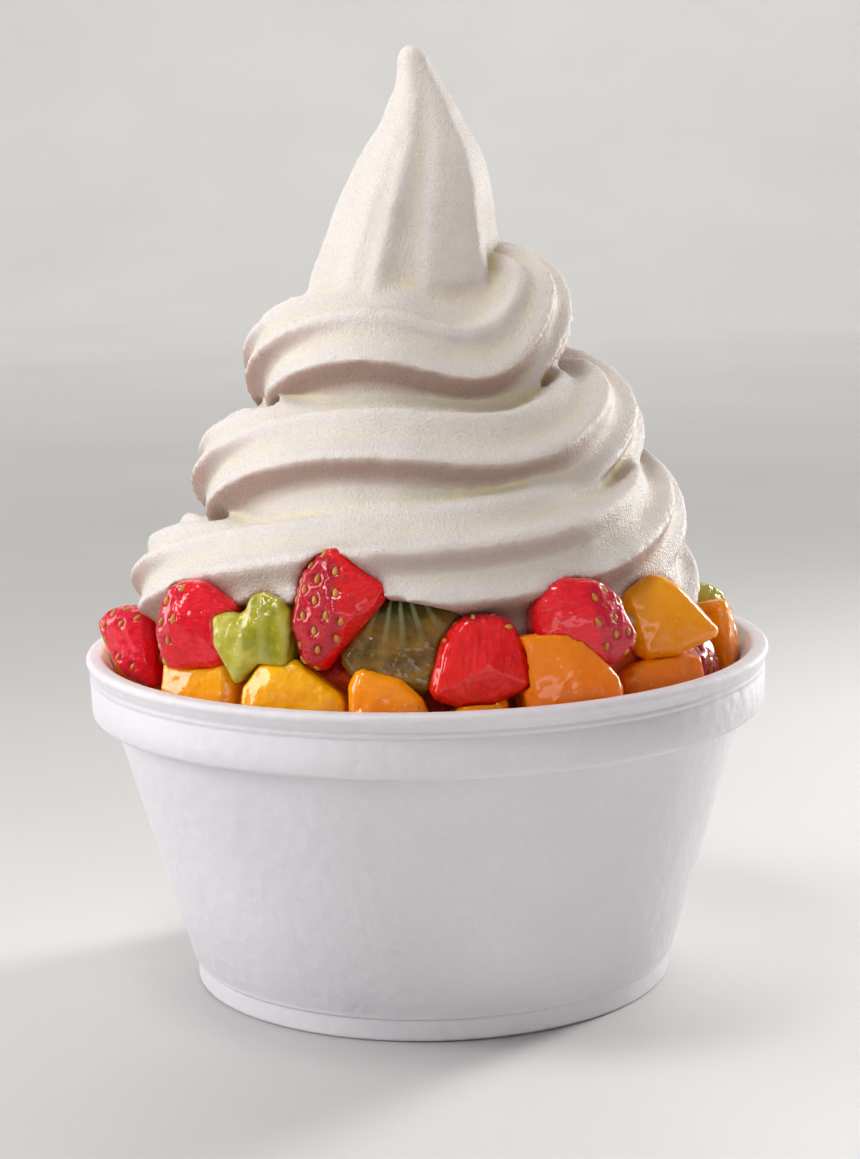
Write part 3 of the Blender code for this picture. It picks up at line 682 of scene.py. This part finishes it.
# The peak's crests: bearing at its foot in degrees, turn for each millimetre up, share of the full
# radius, and how deep the hollow after it is, as a share of the radius
PEAK_CRESTS = [
    (-172, 0.2, 1.0, 0.10),
    (-128, 0.2, 0.98, 0.04),
    (-109, 0.2, 1.0, 0.10),
    (-80, 0.1, 0.91, 0.03),
    (-38, -0.4, 1.0, 0.16),
    (14, 0.2, 1.0, 0.17),
    (74, 0.2, 1.0, 0.17),
    (134, 0.2, 1.0, 0.16),
]
CREST_FOOT = 118.0
peak_rows = [(count, *row) for count, row in enumerate(PEAK)]


def crested(angle, height):
    """The share of the full radius that the peak has at a bearing in degrees and a height."""
    crests = [(foot + twist * (height - CREST_FOOT), *rest) for foot, twist, *rest in PEAK_CRESTS]
    crests.append((crests[0][0] + 360.0, *crests[0][1:]))
    angle = (angle - crests[0][0]) % 360.0 + crests[0][0]
    for (low, size, hollow), (high, next_size, _) in zip(crests, crests[1:]):
        if low <= angle <= high:
            along = (angle - low) / (high - low)
            return size + (next_size - size) * along - hollow * 4.0 * along * (1.0 - along)
    return 1.0


def on_peak(u, v):
    """The point at a share of the way up the peak and round it."""
    height, radius, lean = smooth_between(peak_rows, u * (len(PEAK) - 1))
    reach = radius * crested(360.0 * v, height)
    about = math.radians(360.0 * v)
    return Vector((lean + reach * math.cos(about), reach * math.sin(about), height)) * MM


# %% [markdown]
# A grid primitive has its vertices in rows and columns from -1 to 1, so a vertex's own place says which
# share of the way along and round it stands for. Rolled up, its two long edges meet and are merged, and
# its open ends are filled. A plain turned heart carries the turns from inside and never shows.

# %% Rolling up a grid
HEART = [(0.0, 76.0), (30.0, 72.0), (35.0, 63.0), (39.0, 55.0), (39.0, 49.0), (0.0, 49.0)]
INSIDE_STEPS = 96


def rolled(name, place, long_steps, round_steps):
    """A grid primitive rolled into a tube by a function of (along, round), with its ends filled."""
    bpy.ops.object.select_all(action="DESELECT")
    bpy.ops.mesh.primitive_grid_add(x_subdivisions=long_steps, y_subdivisions=round_steps, size=2.0)
    obj = bpy.context.object
    obj.name = name
    for vertex in obj.data.vertices:
        vertex.co = place((vertex.co.x + 1.0) / 2.0, (vertex.co.y + 1.0) / 2.0)
    in_edit_mode(obj, merge_close)
    bpy.ops.object.mode_set(mode="EDIT")
    bpy.ops.mesh.select_mode(type="EDGE")
    bpy.ops.mesh.select_all(action="DESELECT")
    bpy.ops.mesh.select_non_manifold()
    bpy.ops.mesh.fill_holes(sides=0)
    bpy.ops.mesh.select_all(action="SELECT")
    face_outwards()
    bpy.ops.mesh.select_mode(type="VERT")
    bpy.ops.object.mode_set(mode="OBJECT")
    return obj


rope = rolled("yogurt_rope", on_rope, long_steps=760, round_steps=96)
peak = rolled("yogurt_peak", on_peak, long_steps=90, round_steps=160)
heart = turned("yogurt_heart", HEART, INSIDE_STEPS)
print("rope", len(rope.data.polygons), "faces, peak", len(peak.data.polygons), "faces")

# %% [markdown]
# The rope, the peak and the heart under them overlap. A voxel remesh fuses them to one skin, which also
# softens the creases as in the real thing. Fruit was pressed into the foot of the swirl, so a pocket is
# cut for each piece. A pocket is the convex hull round the fruit's own points and the same points moved
# outwards, so that no yogurt is left hanging in front of the fruit. A round scoop takes away a thin edge
# that the pockets would leave at the back.

# %% Pockets for the fruit
FRUITS = ("strawberry", "mango", "kiwi")
FRUIT_NODES = sorted(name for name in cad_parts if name.split("_")[0] in FRUITS)
POCKET_AHEAD = 7.0
POCKET_RISE = 1.5
POCKET_SHRINK = 0.3
POCKET_VOXEL = 0.6
SCOOP_PLACE = (-38.0, 32.0, 76.0)
SCOOP_RADIUS = 7.0
YOGURT_VOXEL = 0.72


def pocket(node):
    """The room that a piece of fruit takes in the yogurt, open to the outside."""
    low, high = (Vector(corner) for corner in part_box(node))
    middle = (low + high) / 2
    outwards = Vector((middle.x, middle.y, 0.0)).normalized() * POCKET_AHEAD * MM
    outwards.z = POCKET_RISE * MM
    build = bmesh.new()
    build.from_mesh(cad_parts[node].data)
    for vertex in list(build.verts):
        build.verts.new(vertex.co + outwards)
    hull = bmesh.ops.convex_hull(build, input=build.verts, use_existing_faces=False)
    inside = set(hull["geom_interior"] + hull["geom_unused"])
    spare = [each for each in inside if isinstance(each, bmesh.types.BMVert)]
    bmesh.ops.delete(build, geom=spare, context="VERTS")
    mesh = bpy.data.meshes.new("pocket")
    build.to_mesh(mesh)
    build.free()
    obj = bpy.data.objects.new("pocket", mesh)
    bpy.context.scene.collection.objects.link(obj)
    return obj


def joined(first, *others):
    """All of these objects as one, under the first one's name."""
    pick(first, *others)
    bpy.ops.object.join()
    return bpy.context.object


bpy.ops.object.select_all(action="DESELECT")
bpy.ops.mesh.primitive_uv_sphere_add(radius=SCOOP_RADIUS * MM, location=Vector(SCOOP_PLACE) * MM)
scoop = bpy.context.object
bpy.ops.object.transform_apply(location=True, rotation=False, scale=False)
pockets = joined(scoop, *[pocket(node) for node in FRUIT_NODES])
remesh(pockets, POCKET_VOXEL)
apply_modifier(pockets, "DISPLACE", strength=-POCKET_SHRINK * MM, mid_level=0.0)
yogurt = joined(rope, peak, heart)
remesh(yogurt, YOGURT_VOXEL)
apply_modifier(yogurt, "BOOLEAN", object=pockets, operation="DIFFERENCE", solver="MANIFOLD")
bpy.data.objects.remove(pockets)
remesh(yogurt, YOGURT_VOXEL)
soften(yogurt, 3)
print("fused swirl", len(yogurt.data.polygons), "faces")

# %% [markdown]
# The nozzle leaves the yogurt slightly uneven, with long swells and small dents, and both are real relief.
# The deep creases are painted a little yellow, as a painted glow of light that has passed through the
# yogurt, the undersides get painted shade in a warm pink, and the yogurt near the fruit takes a juice
# stain and painted shade. A crease is found by smoothing a copy until its folds are gone: where the copy
# stands outside the real skin there is a crease. All three are stored on the mesh for the finish to read.

# %% Yogurt's relief and what its finish reads
CREASE_SPREAD = 30
CREASE_DEPTH = 1.6
NEAR_FRUIT_REACH = 2.4
LONG_SWELLS = (9.0, 0.5)
SMALL_DENTS = (2.2, 0.18)


def creases_of(obj):
    """How deep each point lies: 0 on a crest, 0.5 where the skin is even, 1 in a crease."""
    places, normals = points_of(obj)
    plain = bpy.data.objects.new("plain", obj.data.copy())
    bpy.context.scene.collection.objects.link(plain)
    soften(plain, CREASE_SPREAD)
    above = ((points_of(plain)[0] - places) * normals).sum(axis=1)
    bpy.data.objects.remove(plain)
    return np.clip(0.5 + above / CREASE_DEPTH, 0.0, 1.0)


def nearness_to_fruit(places):
    """How near fruit each point is: 1 where it touches, 0 beyond a set reach."""
    near_fruit = np.zeros(len(places))
    for node in FRUIT_NODES:
        low, high = (np.array(corner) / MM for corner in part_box(node))
        close = ((places > low - NEAR_FRUIT_REACH) & (places < high + NEAR_FRUIT_REACH)).all(axis=1)
        for index in np.flatnonzero(close):
            point = Vector(places[index]) * MM
            found, at, _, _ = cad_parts[node].closest_point_on_mesh(point, distance=NEAR_FRUIT_REACH * MM)
            if found:
                near_fruit[index] = max(near_fruit[index], 1.0 - (at - point).length / (NEAR_FRUIT_REACH * MM))
    return near_fruit


places, normals = points_of(yogurt)
# Painted shade: the more a point faces down, the more the finish mixes it towards a warm pink shade.
underside_shade = np.clip(0.5 - normals[:, 2], 0.0, 1.0)
store(yogurt, "shape", creases_of(yogurt), underside_shade, nearness_to_fruit(places))
roughen(yogurt, *LONG_SWELLS)
roughen(yogurt, *SMALL_DENTS)
print("swirl", in_mm(yogurt.dimensions), "mm")

# %% [markdown]
# The swirl stands on yogurt that fills the cup down to its floor. It is hidden, so it is a plain turned
# shape with a hair's gap to the cup. It joins the swirl, as both stand for one solid.

# %% Yogurt in the cup
FILL_GAP = 0.4


def fill_section():
    """The hidden yogurt's section, from its middle down its side to its foot."""
    corner = FLOOR_TOP + FLOOR_CORNER
    foot = inner_wall(corner) - FLOOR_CORNER
    points = [(0.0, 54.0), (38.0, 53.0)]
    points += [(inner_wall(height) - FILL_GAP, height) for height in (49.0, 30.0, corner)]
    points += [(foot + 1.6, FLOOR_TOP + 1.6)]
    points += [(radius, FLOOR_TOP + FILL_GAP) for radius in (foot - 0.5, 0.0)]
    return points


fill = turned("yogurt_fill", fill_section(), INSIDE_STEPS)
yogurt = joined(yogurt, fill)
yogurt.name = "yogurt_swirl"

# %% [markdown]
# Light sinks into yogurt and comes out warm, which subsurface scattering gives. Its skin glitters with
# fine ice: each cell of a fine texture is a crystal, smoother in its middle than at its rim. Low down
# between the fruit all of the yogurt takes juice colours, and higher up only what lies close to a piece.
# These colours are partly a juice stain and partly painted shade, tinted orange by light from the fruit.

# %% Yogurt's finish
STAIN_AND_SHADE_HEIGHTS = (59.0, 75.0)


def juice_and_shade_share(made, near_fruit):
    """How much of the colour is juice stain and painted shade, from the height and how near fruit is."""
    above = made.height(*STAIN_AND_SHADE_HEIGHTS)
    near = made.grey(near_fruit, (0.1, 0.0), (0.5, 1.0))
    share = made.math("MULTIPLY", made.grey(above, (0.3, 1.0), (0.6, 0.14)), near)
    return made.math("MAXIMUM", share, made.grey(above, (0.15, 1.0), (0.45, 0.0)))


def yogurt_material():
    made = Finish("frozen_yogurt_skin", IOR=1.38, Subsurface_Weight=0.4, Subsurface_Scale=0.004,
                  Subsurface_Radius=(1.0, 0.6, 0.4))
    crease, under, near_fruit = made.attribute("shape")
    # Painted light: the yellow of the deep creases stands in for light that glows through the yogurt.
    crest, even, crease_glow = linear(227, 220, 216), linear(230, 221, 206), linear(234, 220, 166)
    tint = made.ramp(crease, (0.48, crest), (0.62, even), (0.8, crease_glow))
    # Painted shade: the undersides are mixed towards a warm pinkish-brown shade colour.
    shaded = made.grey(under, (0.35, 0.0), (0.58, 0.5), (0.9, 1.0))
    tint = made.mix(shaded, tint, linear(176, 150, 138))
    # Juice stain and painted shade, tinted orange by light from the fruit, in one colour.
    juice_and_shade = made.ramp(made.noise(60.0), (0.4, linear(214, 88, 24)), (0.6, linear(170, 22, 16)))
    tint = made.mix(juice_and_shade_share(made, near_fruit), tint, juice_and_shade)
    slow = made.grey(made.noise(90.0), (0.3, 0.97), (0.7, 1.0))
    crystals = made.cells(2600.0)
    low = made.bump(made.noise(1400.0, 4.0, 0.7), 0.3, 0.8)
    return made.finish(colour=made.mix(1.0, tint, slow, "MULTIPLY"),
                       roughness=made.grey(crystals, (0.15, 0.14), (0.6, 0.46)),
                       normal=made.bump(crystals, 0.2, 0.8, low))


dress(yogurt, yogurt_material(), ["frozen_yogurt"])
print("yogurt with its fill", len(yogurt.data.polygons), "faces")

# %% [markdown]
# ## Cut fruit
# Diced fruit has flat cut faces, edges that have gone soft and a wet skin of juice. Each piece starts as
# a copy of its solid. A remesh gives it enough points for relief, and a little smoothing rounds its
# edges. It is then made uneven, and swells by a hair so that neighbours touch as they do in the cup.

# %% Shaping a piece of fruit
SWELL = 0.30
FRUIT_SWELLS = (6.0, 0.5)
FRUIT_DENTS = (1.5, 0.12)
SEED_EDGE = 1.3
SEED_RISE = 0.25
SEED_POINTS = 5


def sink_seeds(obj):
    """Sinks the solid's plain seeds flush with the skin, as finer ones take their place.
    The top of such a seed is a few points that have only short edges and lie close together."""
    short = [True] * len(obj.data.vertices)
    for edge in obj.data.edges:
        ends = [obj.data.vertices[i] for i in edge.vertices]
        if (ends[0].co - ends[1].co).length > SEED_EDGE * MM:
            short[edge.vertices[0]] = short[edge.vertices[1]] = False
    tops = []
    for vertex in (v for v in obj.data.vertices if short[v.index]):
        for top in tops:
            if (top[0].co - vertex.co).length < SEED_EDGE * MM:
                top.append(vertex)
                break
        else:
            tops.append([vertex])
    for top in (t for t in tops if len(t) >= SEED_POINTS):
        middle = sum((v.co for v in top), Vector()) / len(top)
        first, second = top[0].co - middle, top[len(top) // 2].co - middle
        outwards = first.cross(second).normalized()
        if outwards.dot(sum((v.normal for v in top), Vector())) < 0:
            outwards.negate()
        for vertex in top:
            vertex.co -= outwards * SEED_RISE * MM


def cut_fruit(node, voxel, edge_passes):
    """A piece of fruit from its solid: more passes round its edges more."""
    piece = copy_of(node, node + "_piece")
    if node.startswith("strawberry"):
        sink_seeds(piece)
    remesh(piece, voxel)
    soften(piece, edge_passes)
    roughen(piece, *FRUIT_SWELLS, SWELL)
    roughen(piece, *FRUIT_DENTS)
    return piece


def spread_over(places, allowed, spacing):
    """Vertices as far apart as they can be, until they would be closer than a spacing."""
    at = np.flatnonzero(allowed)
    if not len(at):
        return []
    points = places[at]
    following = np.linalg.norm(points - points.mean(axis=0), axis=1).argmin()
    chosen, away = [], np.full(len(at), np.inf)
    while not chosen or away[following] > spacing:
        chosen.append(at[following])
        away = np.minimum(away, np.linalg.norm(points - points[following], axis=1))
        following = away.argmax()
    return chosen


# %% [markdown]
# Seeds of strawberry and kiwi are the same kind of thing: a flattened sphere drawn out to a point at one
# end. One is modelled and copied to every spot. Each copy has its own mesh, with its point up the fruit
# and a little turned at random, and is joined to its piece.

# %% Seeds
SEED_POINTEDNESS = 0.45
LARGEST_WOBBLE = 0.3


def seed_shape(size):
    """A seed at the origin with its point up the Y axis, from its half sizes in millimetres."""
    bpy.ops.object.select_all(action="DESELECT")
    bpy.ops.mesh.primitive_uv_sphere_add(segments=10, ring_count=7, radius=MM)
    obj = bpy.context.object
    bpy.ops.object.mode_set(mode="EDIT")
    bpy.ops.transform.resize(value=size)
    bpy.ops.object.mode_set(mode="OBJECT")
    for vertex in obj.data.vertices:
        share = vertex.co.y / (size[1] * MM)
        vertex.co.x *= 1.0 - SEED_POINTEDNESS * max(share, 0.0)
    return obj


def with_seeds(piece, size, places, normals, chosen, sink, point_up, material):
    """The piece with a seed at each chosen vertex, sunk by a depth in millimetres."""
    shape = seed_shape(size)
    draw = random.Random(piece.name)
    seeds = []
    for index in chosen:
        point, normal = Vector(places[index]) * MM, Vector(normals[index])
        up = (point_up - normal * point_up.dot(normal)).normalized()
        turned_to = Matrix((up.cross(normal), up, normal)).transposed().to_4x4()
        wobble = Matrix.Rotation(draw.uniform(-LARGEST_WOBBLE, LARGEST_WOBBLE), 4, "Z")
        copy = bpy.data.objects.new("seed", shape.data.copy())
        bpy.context.scene.collection.objects.link(copy)
        copy.data.transform(Matrix.Translation(point - normal * sink * MM) @ turned_to @ wobble)
        copy.data.materials.append(material)
        seeds.append(copy)
    bpy.data.objects.remove(shape)
    piece = joined(piece, *seeds) if seeds else piece
    for polygon in piece.data.polygons:
        polygon.use_smooth = True
    return piece


# %% [markdown]
# ## Mango
# Ripe mango is a deep glossy orange that light passes into. Its colour is painted yellower towards the top
# as painted light, and a darker, redder orange low down as painted shade. It has faint fibres along it and
# tiny bubbles in its juice.
# A film of juice lies over all the fruit: the shader's coat, clear and glossy, with its own slow waves.

# %% Mango's finish
WET = {"Coat_Weight": 0.9, "Coat_Roughness": 0.03, "Specular_IOR_Level": 0.15}
MANGO_LIGHT_HEIGHTS = (50.0, 76.0)


def under_juice(made, colour, low, patches, waves, wave_height):
    """Flesh with smoother and duller patches and fine pores, under a film with waves of its own."""
    return made.finish(colour=colour,
                       roughness=made.grey(made.noise(patches), (0.35, 0.12), (0.65, 0.3)),
                       normal=made.bump(made.noise(1500.0), 0.12, 0.5, low),
                       coat_normal=made.bump(made.noise(waves, 2.0), wave_height))


def mango_light_and_ripeness(made, ripe):
    """Where on its scale of colours the flesh is: painted lighter high up as painted light, and brighter
    where it is less ripe.
    """
    fibres = made.math("MULTIPLY", made.fibres(0.09, 0.5, 4.0, 0.3), 0.2)
    # Painted light and shade: the colour is lighter and yellower the higher a point is.
    light_and_ripeness = made.math("MULTIPLY", made.height(*MANGO_LIGHT_HEIGHTS), 0.3)
    light_and_ripeness = made.math("SUBTRACT", light_and_ripeness, made.math("MULTIPLY", ripe, 0.7))
    return made.math("ADD", made.math("ADD", light_and_ripeness, 0.6), fibres)


def mango_material():
    made = Finish("mango_flesh", IOR=1.4, Subsurface_Weight=0.4, Subsurface_Scale=0.003,
                  Subsurface_Radius=(1.0, 0.5, 0.1), **WET)
    ripe, _, _ = made.attribute("flesh")
    light_and_ripeness = mango_light_and_ripeness(made, ripe)
    deep, orange, yellow = linear(248, 92, 2), linear(255, 144, 2), linear(255, 192, 2)
    colour = made.ramp(light_and_ripeness, (0.1, deep), (0.5, orange), (0.9, yellow))
    bubbles = made.grey(made.cells(650.0), (0.09, 0.5), (0.15, 0.0))
    colour = made.mix(bubbles, colour, linear(255, 214, 90))
    low = made.bump(made.noise(600.0, 2.0), 0.3)
    return under_juice(made, colour, low, patches=300.0, waves=280.0, wave_height=0.2)


# %% [markdown]
# Each piece was cut from the fruit its own way, so its fibres get a bearing at random. How ripe it is was
# judged on the photograph for the pieces in front, and the others get a middling value.

# %% Mango pieces
# How ripe a piece is, 1 for the reddest orange
MANGO_RIPENESS = {"mango_01": 0.4, "mango_02": 0.65, "mango_03": 0.6, "mango_04": 0.1, "mango_05": 0.2}
USUAL_RIPENESS = 0.4
FIBRE_RISE = 0.4
MANGO_NODES = [node for node in FRUIT_NODES if node.startswith("mango")]


def store_straight(obj, along):
    """Stores directions for fibres that run straight: along them, and twice across."""
    places, _ = points_of(obj)
    aside = along.cross(UP).normalized()
    store(obj, "fibres", places @ along, places @ aside, places @ along.cross(aside))


mango_flesh = mango_material()
for node in MANGO_NODES:
    piece = cut_fruit(node, voxel=0.38, edge_passes=1)
    bearing = random.Random(node).uniform(0.0, math.pi)
    store_straight(piece, Vector((math.cos(bearing), math.sin(bearing), FIBRE_RISE)).normalized())
    store(piece, "flesh", MANGO_RIPENESS.get(node, USUAL_RIPENESS))
    dress(piece, mango_flesh, [node])
print(len(MANGO_NODES), "pieces of mango, the last", in_mm(piece.dimensions), "mm")

# %% [markdown]
# ## Kiwi
# A slice of kiwi has pale fibres that run out from its core, with black seeds round the core. Thick
# pieces are so clear that the dark of the cup shows through them, which is painted into their colour as
# painted shade, and thin ones glow yellow-green.

# %% Kiwi's core, fibres and seeds
# Where the core is, as shares of the piece's width and height, how dark the piece is painted, which is
# painted shade, and how far apart its seeds are in millimetres, or None where it shows none
KIWI_CORES = {
    "kiwi_01": (0.62, 1.5, 0.15, None),
    "kiwi_02": (0.45, 1.35, 1.0, 3.4),
    "kiwi_03": (0.4, -0.1, 0.0, 3.0),
    "kiwi_04": (0.5, 1.2, 0.5, 2.4),
    "kiwi_05": (0.6, 1.1, 0.3, 2.4),
    "kiwi_06": (0.3, 1.2, 0.6, 2.4),
}
KIWI_SEED_RING = (3.4, 6.4)
KIWI_RADIUS = 20.0
ARC_TO_MM = 6.0


def store_round_core(obj, node):
    """Stores directions for fibres that run out from the core, and gives the points where seeds may lie:
    those in a ring round the core that face out or up."""
    low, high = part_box(node)
    wide, tall, dark, _ = KIWI_CORES[node]
    middle = (Vector(low) + Vector(high)) / 2
    outwards = Vector((middle.x, middle.y, 0.0)).normalized()
    aside = Vector((-outwards.y, outwards.x, 0.0))
    places, normals = points_of(obj)
    across = places @ aside
    core = across.min() + wide * (across.max() - across.min())
    up = places[:, 2] - (low[2] + tall * (high[2] - low[2])) / MM
    away = np.hypot(across - core, up)
    store(obj, "fibres", away, np.arctan2(across - core, -up) * ARC_TO_MM, places @ outwards)
    # How dark the piece is painted, which is painted shade, and how far each point is from the core.
    store(obj, "flesh", dark, np.clip(away / KIWI_RADIUS, 0.0, 1.0))
    ring = (away > KIWI_SEED_RING[0]) & (away < KIWI_SEED_RING[1])
    return ring & (normals @ outwards + normals[:, 2] > 0.5)


# %% [markdown]
# One finish has both looks of kiwi and mixes them by how dark a piece is painted. Both follow a cloudy
# noise and pale ribs along the stored fibres. A dark piece is painted shade: deep green near its core,
# and brown towards its rim as a painted reflection of the strawberries next to it.

# %% Kiwi's finish
def clear_kiwi(made, cloud, ribs):
    low, middle, high = linear(150, 148, 16), linear(188, 180, 44), linear(220, 206, 104)
    clear = made.ramp(cloud, (0.3, low), (0.55, middle), (0.8, high))
    return made.mix(made.grey(ribs, (0.5, 0.0), (1.0, 0.22)), clear, linear(226, 222, 150))


def shaded_kiwi(made, cloud, ribs, away):
    # Painted shade, with a brown painted reflection of the strawberries towards the rim.
    deep = made.ramp(cloud, (0.3, linear(18, 38, 12)), (0.7, linear(56, 78, 24)))
    rim_reflection = made.ramp(cloud, (0.35, linear(96, 66, 10)), (0.65, linear(154, 114, 28)))
    deep = made.mix(made.grey(away, (0.34, 0.0), (0.56, 0.9)), deep, rim_reflection)
    near_core = made.grey(away, (0.4, 1.0), (0.62, 0.1))
    pale = made.math("MULTIPLY", made.grey(ribs, (0.62, 0.0), (0.95, 0.6)), near_core)
    return made.mix(pale, deep, linear(178, 180, 128))


def kiwi_material():
    made = Finish("kiwi_flesh", Roughness=0.15, IOR=1.4, Subsurface_Weight=0.45, Subsurface_Scale=0.004,
                  Subsurface_Radius=(0.8, 1.0, 0.2), **WET)
    dark, away, _ = made.attribute("flesh")
    cloud = made.fibres(0.25, 0.4)
    ribs = made.ribs(1.5, 1.2)
    colour = made.mix(dark, clear_kiwi(made, cloud, ribs), shaded_kiwi(made, cloud, ribs, away))
    low = made.bump(made.noise(700.0, 2.0), 0.4, 1.0, made.bump(ribs, 0.3, 0.5))
    return made.finish(colour=colour,
                       normal=made.bump(made.noise(1500.0), 0.15, 0.5, low),
                       coat_normal=made.bump(made.noise(420.0, 2.0), 0.4))


def kiwi_seed_material():
    made = Finish("kiwi_seed", Roughness=0.15, IOR=1.5)
    colour = made.ramp(made.noise(500.0), (0.3, linear(18, 8, 14)), (0.7, linear(52, 16, 30)))
    return made.finish(colour=colour)


# %% [markdown]
# Ripe kiwi is softer than mango, so its cut edges are rounded with more passes. A seed lies wherever the
# ring round the core shows on the outside of a piece, and hardly sinks in.

# %% Kiwi pieces
KIWI_SEED_SIZE = (0.5, 0.85, 0.4)
KIWI_SEED_SINK = 0.1
kiwi_flesh, kiwi_seeds = kiwi_material(), kiwi_seed_material()
for node, (*_, spacing) in KIWI_CORES.items():
    piece = cut_fruit(node, voxel=0.38, edge_passes=3)
    ring = store_round_core(piece, node)
    dress(piece, kiwi_flesh, [node])
    places, normals = points_of(piece)
    chosen = spread_over(places, ring, spacing) if spacing else []
    with_seeds(piece, KIWI_SEED_SIZE, places, normals, chosen, KIWI_SEED_SINK, UP, kiwi_seeds)
    print(node, len(chosen), "seeds")

# %% [markdown]
# ## Strawberry
# A strawberry piece has skin on one side, with a seed in each dimple, and red cut flesh on the others,
# with fibres that run from the core to the skin. Which way its skin faces is given for each piece. Skin,
# depth in the flesh and dimples are stored on the mesh, so that the finish can follow the form.

# %% Strawberry's skin and dimples
# Which way the skin of each piece faces, past what share of the way there all of it is skin, and how
# pink the piece is
BERRIES = {
    "strawberry_01": ((-0.75, -0.62, -0.1), 1.0, 0.1),
    "strawberry_02": ((0.1, 0.3, 1.0), 1.0, 0.0),
    "strawberry_03": ((-1.0, -0.1, 0.25), 1.0, 0.5),
    "strawberry_04": ((-0.7, -0.2, 0.7), 1.0, 0.8),
    "strawberry_05": ((0.97, -0.05, 0.2), 0.7, 0.5),
    "strawberry_06": ((0.45, -0.45, 0.8), 1.0, 0.0),
    "strawberry_07": ((0.17, 0.99, 0.5), 1.0, 0.3),
    "strawberry_08": ((0.33, 0.94, 0.5), 1.0, 0.0),
    "strawberry_09": ((0.82, 0.58, 0.5), 1.0, 0.5),
    "strawberry_10": ((-0.79, 0.62, 0.5), 1.0, 0.2),
}
# A surface starts to be skin, and is all skin, where the cosine of its angle to that way reaches these
SKIN_EDGE = (0.5, 0.6)
SKIN_FADE = 0.04
SEEDED_FROM = 0.8
STRAWBERRY_SEED_SPACING = 2.5
DIMPLE_RADIUS = 1.25
DIMPLE_DEPTH = 0.5


def press_dimples(obj, facing, all_skin_past):
    """Presses a dimple into the skin for each seed, and stores skin, depth and dimples.
    Gives the places and directions of the skin where the seeds go, as they were before."""
    places, normals = points_of(obj)
    reach = places @ facing
    share = (reach - reach.min()) / (reach.max() - reach.min())
    skin = np.clip((normals @ facing - SKIN_EDGE[0]) / (SKIN_EDGE[1] - SKIN_EDGE[0]), 0.0, 1.0)
    skin = np.maximum(skin, np.clip((share - all_skin_past) / SKIN_FADE, 0.0, 1.0))
    chosen = spread_over(places, skin > SEEDED_FROM, STRAWBERRY_SEED_SPACING)
    dimples = np.zeros(len(places))
    for index in chosen:
        away = np.linalg.norm(places - places[index], axis=1) / DIMPLE_RADIUS
        dimples = np.maximum(dimples, np.where(away < 1.0, (1.0 - away**2) ** 2, 0.0))
    place_points(obj, places - normals * (dimples * DIMPLE_DEPTH)[:, None])
    store(obj, "flesh", skin, 1.0 - share, dimples)
    return places[chosen], normals[chosen]


# %% [markdown]
# The finish is two colours that the stored skin mixes: flesh with fine streaks along its fibres, which
# is painted more orange away from the skin as painted light, the glow of the mango below, and a darker
# peel with painted shade in its dimples. A stored tone makes some pieces pinker. The seeds have a finish
# of their own, from straw to brown.

# %% Strawberry's finish
def strawberry_seed_material():
    made = Finish("strawberry_seed", Roughness=0.25, IOR=1.45)
    colour = made.ramp(made.noise(700.0), (0.3, linear(176, 96, 30)), (0.7, linear(222, 156, 70)))
    return made.finish(colour=colour)


def strawberry_material():
    made = Finish("strawberry_flesh", IOR=1.4, Subsurface_Weight=0.3, Subsurface_Scale=0.003,
                  Subsurface_Radius=(1.0, 0.12, 0.08), **WET)
    skin, depth, dimples = made.attribute("flesh")
    pink, _, _ = made.attribute("tone")
    streaks = made.fibres(0.15, 1.9, 4.0, 0.3)
    dark, red, pale = linear(204, 0, 8), linear(236, 0, 12), linear(255, 40, 36)
    flesh = made.ramp(streaks, (0.3, dark), (0.55, red), (0.8, pale))
    # Painted light: an orange glow of the mango below, stronger away from the skin.
    core = made.grey(depth, (0.45, 0.0), (1.0, 0.35))
    flesh = made.mix(core, flesh, linear(255, 62, 24))
    peel = made.ramp(made.noise(240.0), (0.3, linear(170, 0, 22)), (0.7, linear(196, 0, 36)))
    # Painted shade: the peel is darker in its dimples.
    peel = made.mix(made.math("MULTIPLY", dimples, 0.7), peel, linear(116, 0, 12))
    colour = made.mix(made.math("MULTIPLY", pink, 0.5), made.mix(skin, flesh, peel), linear(252, 14, 66))
    low = made.bump(made.noise(650.0, 2.0), 0.45, 1.0, made.bump(streaks, 0.5, 0.5))
    return under_juice(made, colour, low, patches=420.0, waves=360.0, wave_height=0.32)


# %% [markdown]
# Each berry is cut, then gets its fibres, its dimples and its tone. Its seeds come last: they lie sunk in
# the dimples with their points turned up along the skin.

# %% Strawberry pieces
STRAWBERRY_SEED_SIZE = (0.5, 0.84, 0.42)
STRAWBERRY_SEED_SINK = DIMPLE_DEPTH * 0.8
strawberry_flesh, strawberry_seeds = strawberry_material(), strawberry_seed_material()
for node, (facing, all_skin_past, pink) in BERRIES.items():
    facing = Vector(facing).normalized()
    piece = cut_fruit(node, voxel=0.36, edge_passes=1)
    store_straight(piece, facing)
    places, normals = press_dimples(piece, facing, all_skin_past)
    store(piece, "tone", pink)
    dress(piece, strawberry_flesh, [node])
    up_the_berry = facing.cross(UP).cross(facing)
    piece = with_seeds(piece, STRAWBERRY_SEED_SIZE, places, normals, range(len(places)),
                       STRAWBERRY_SEED_SINK, up_the_berry, strawberry_seeds)
    print(node, len(places), "seeds,", len(piece.data.polygons), "faces")
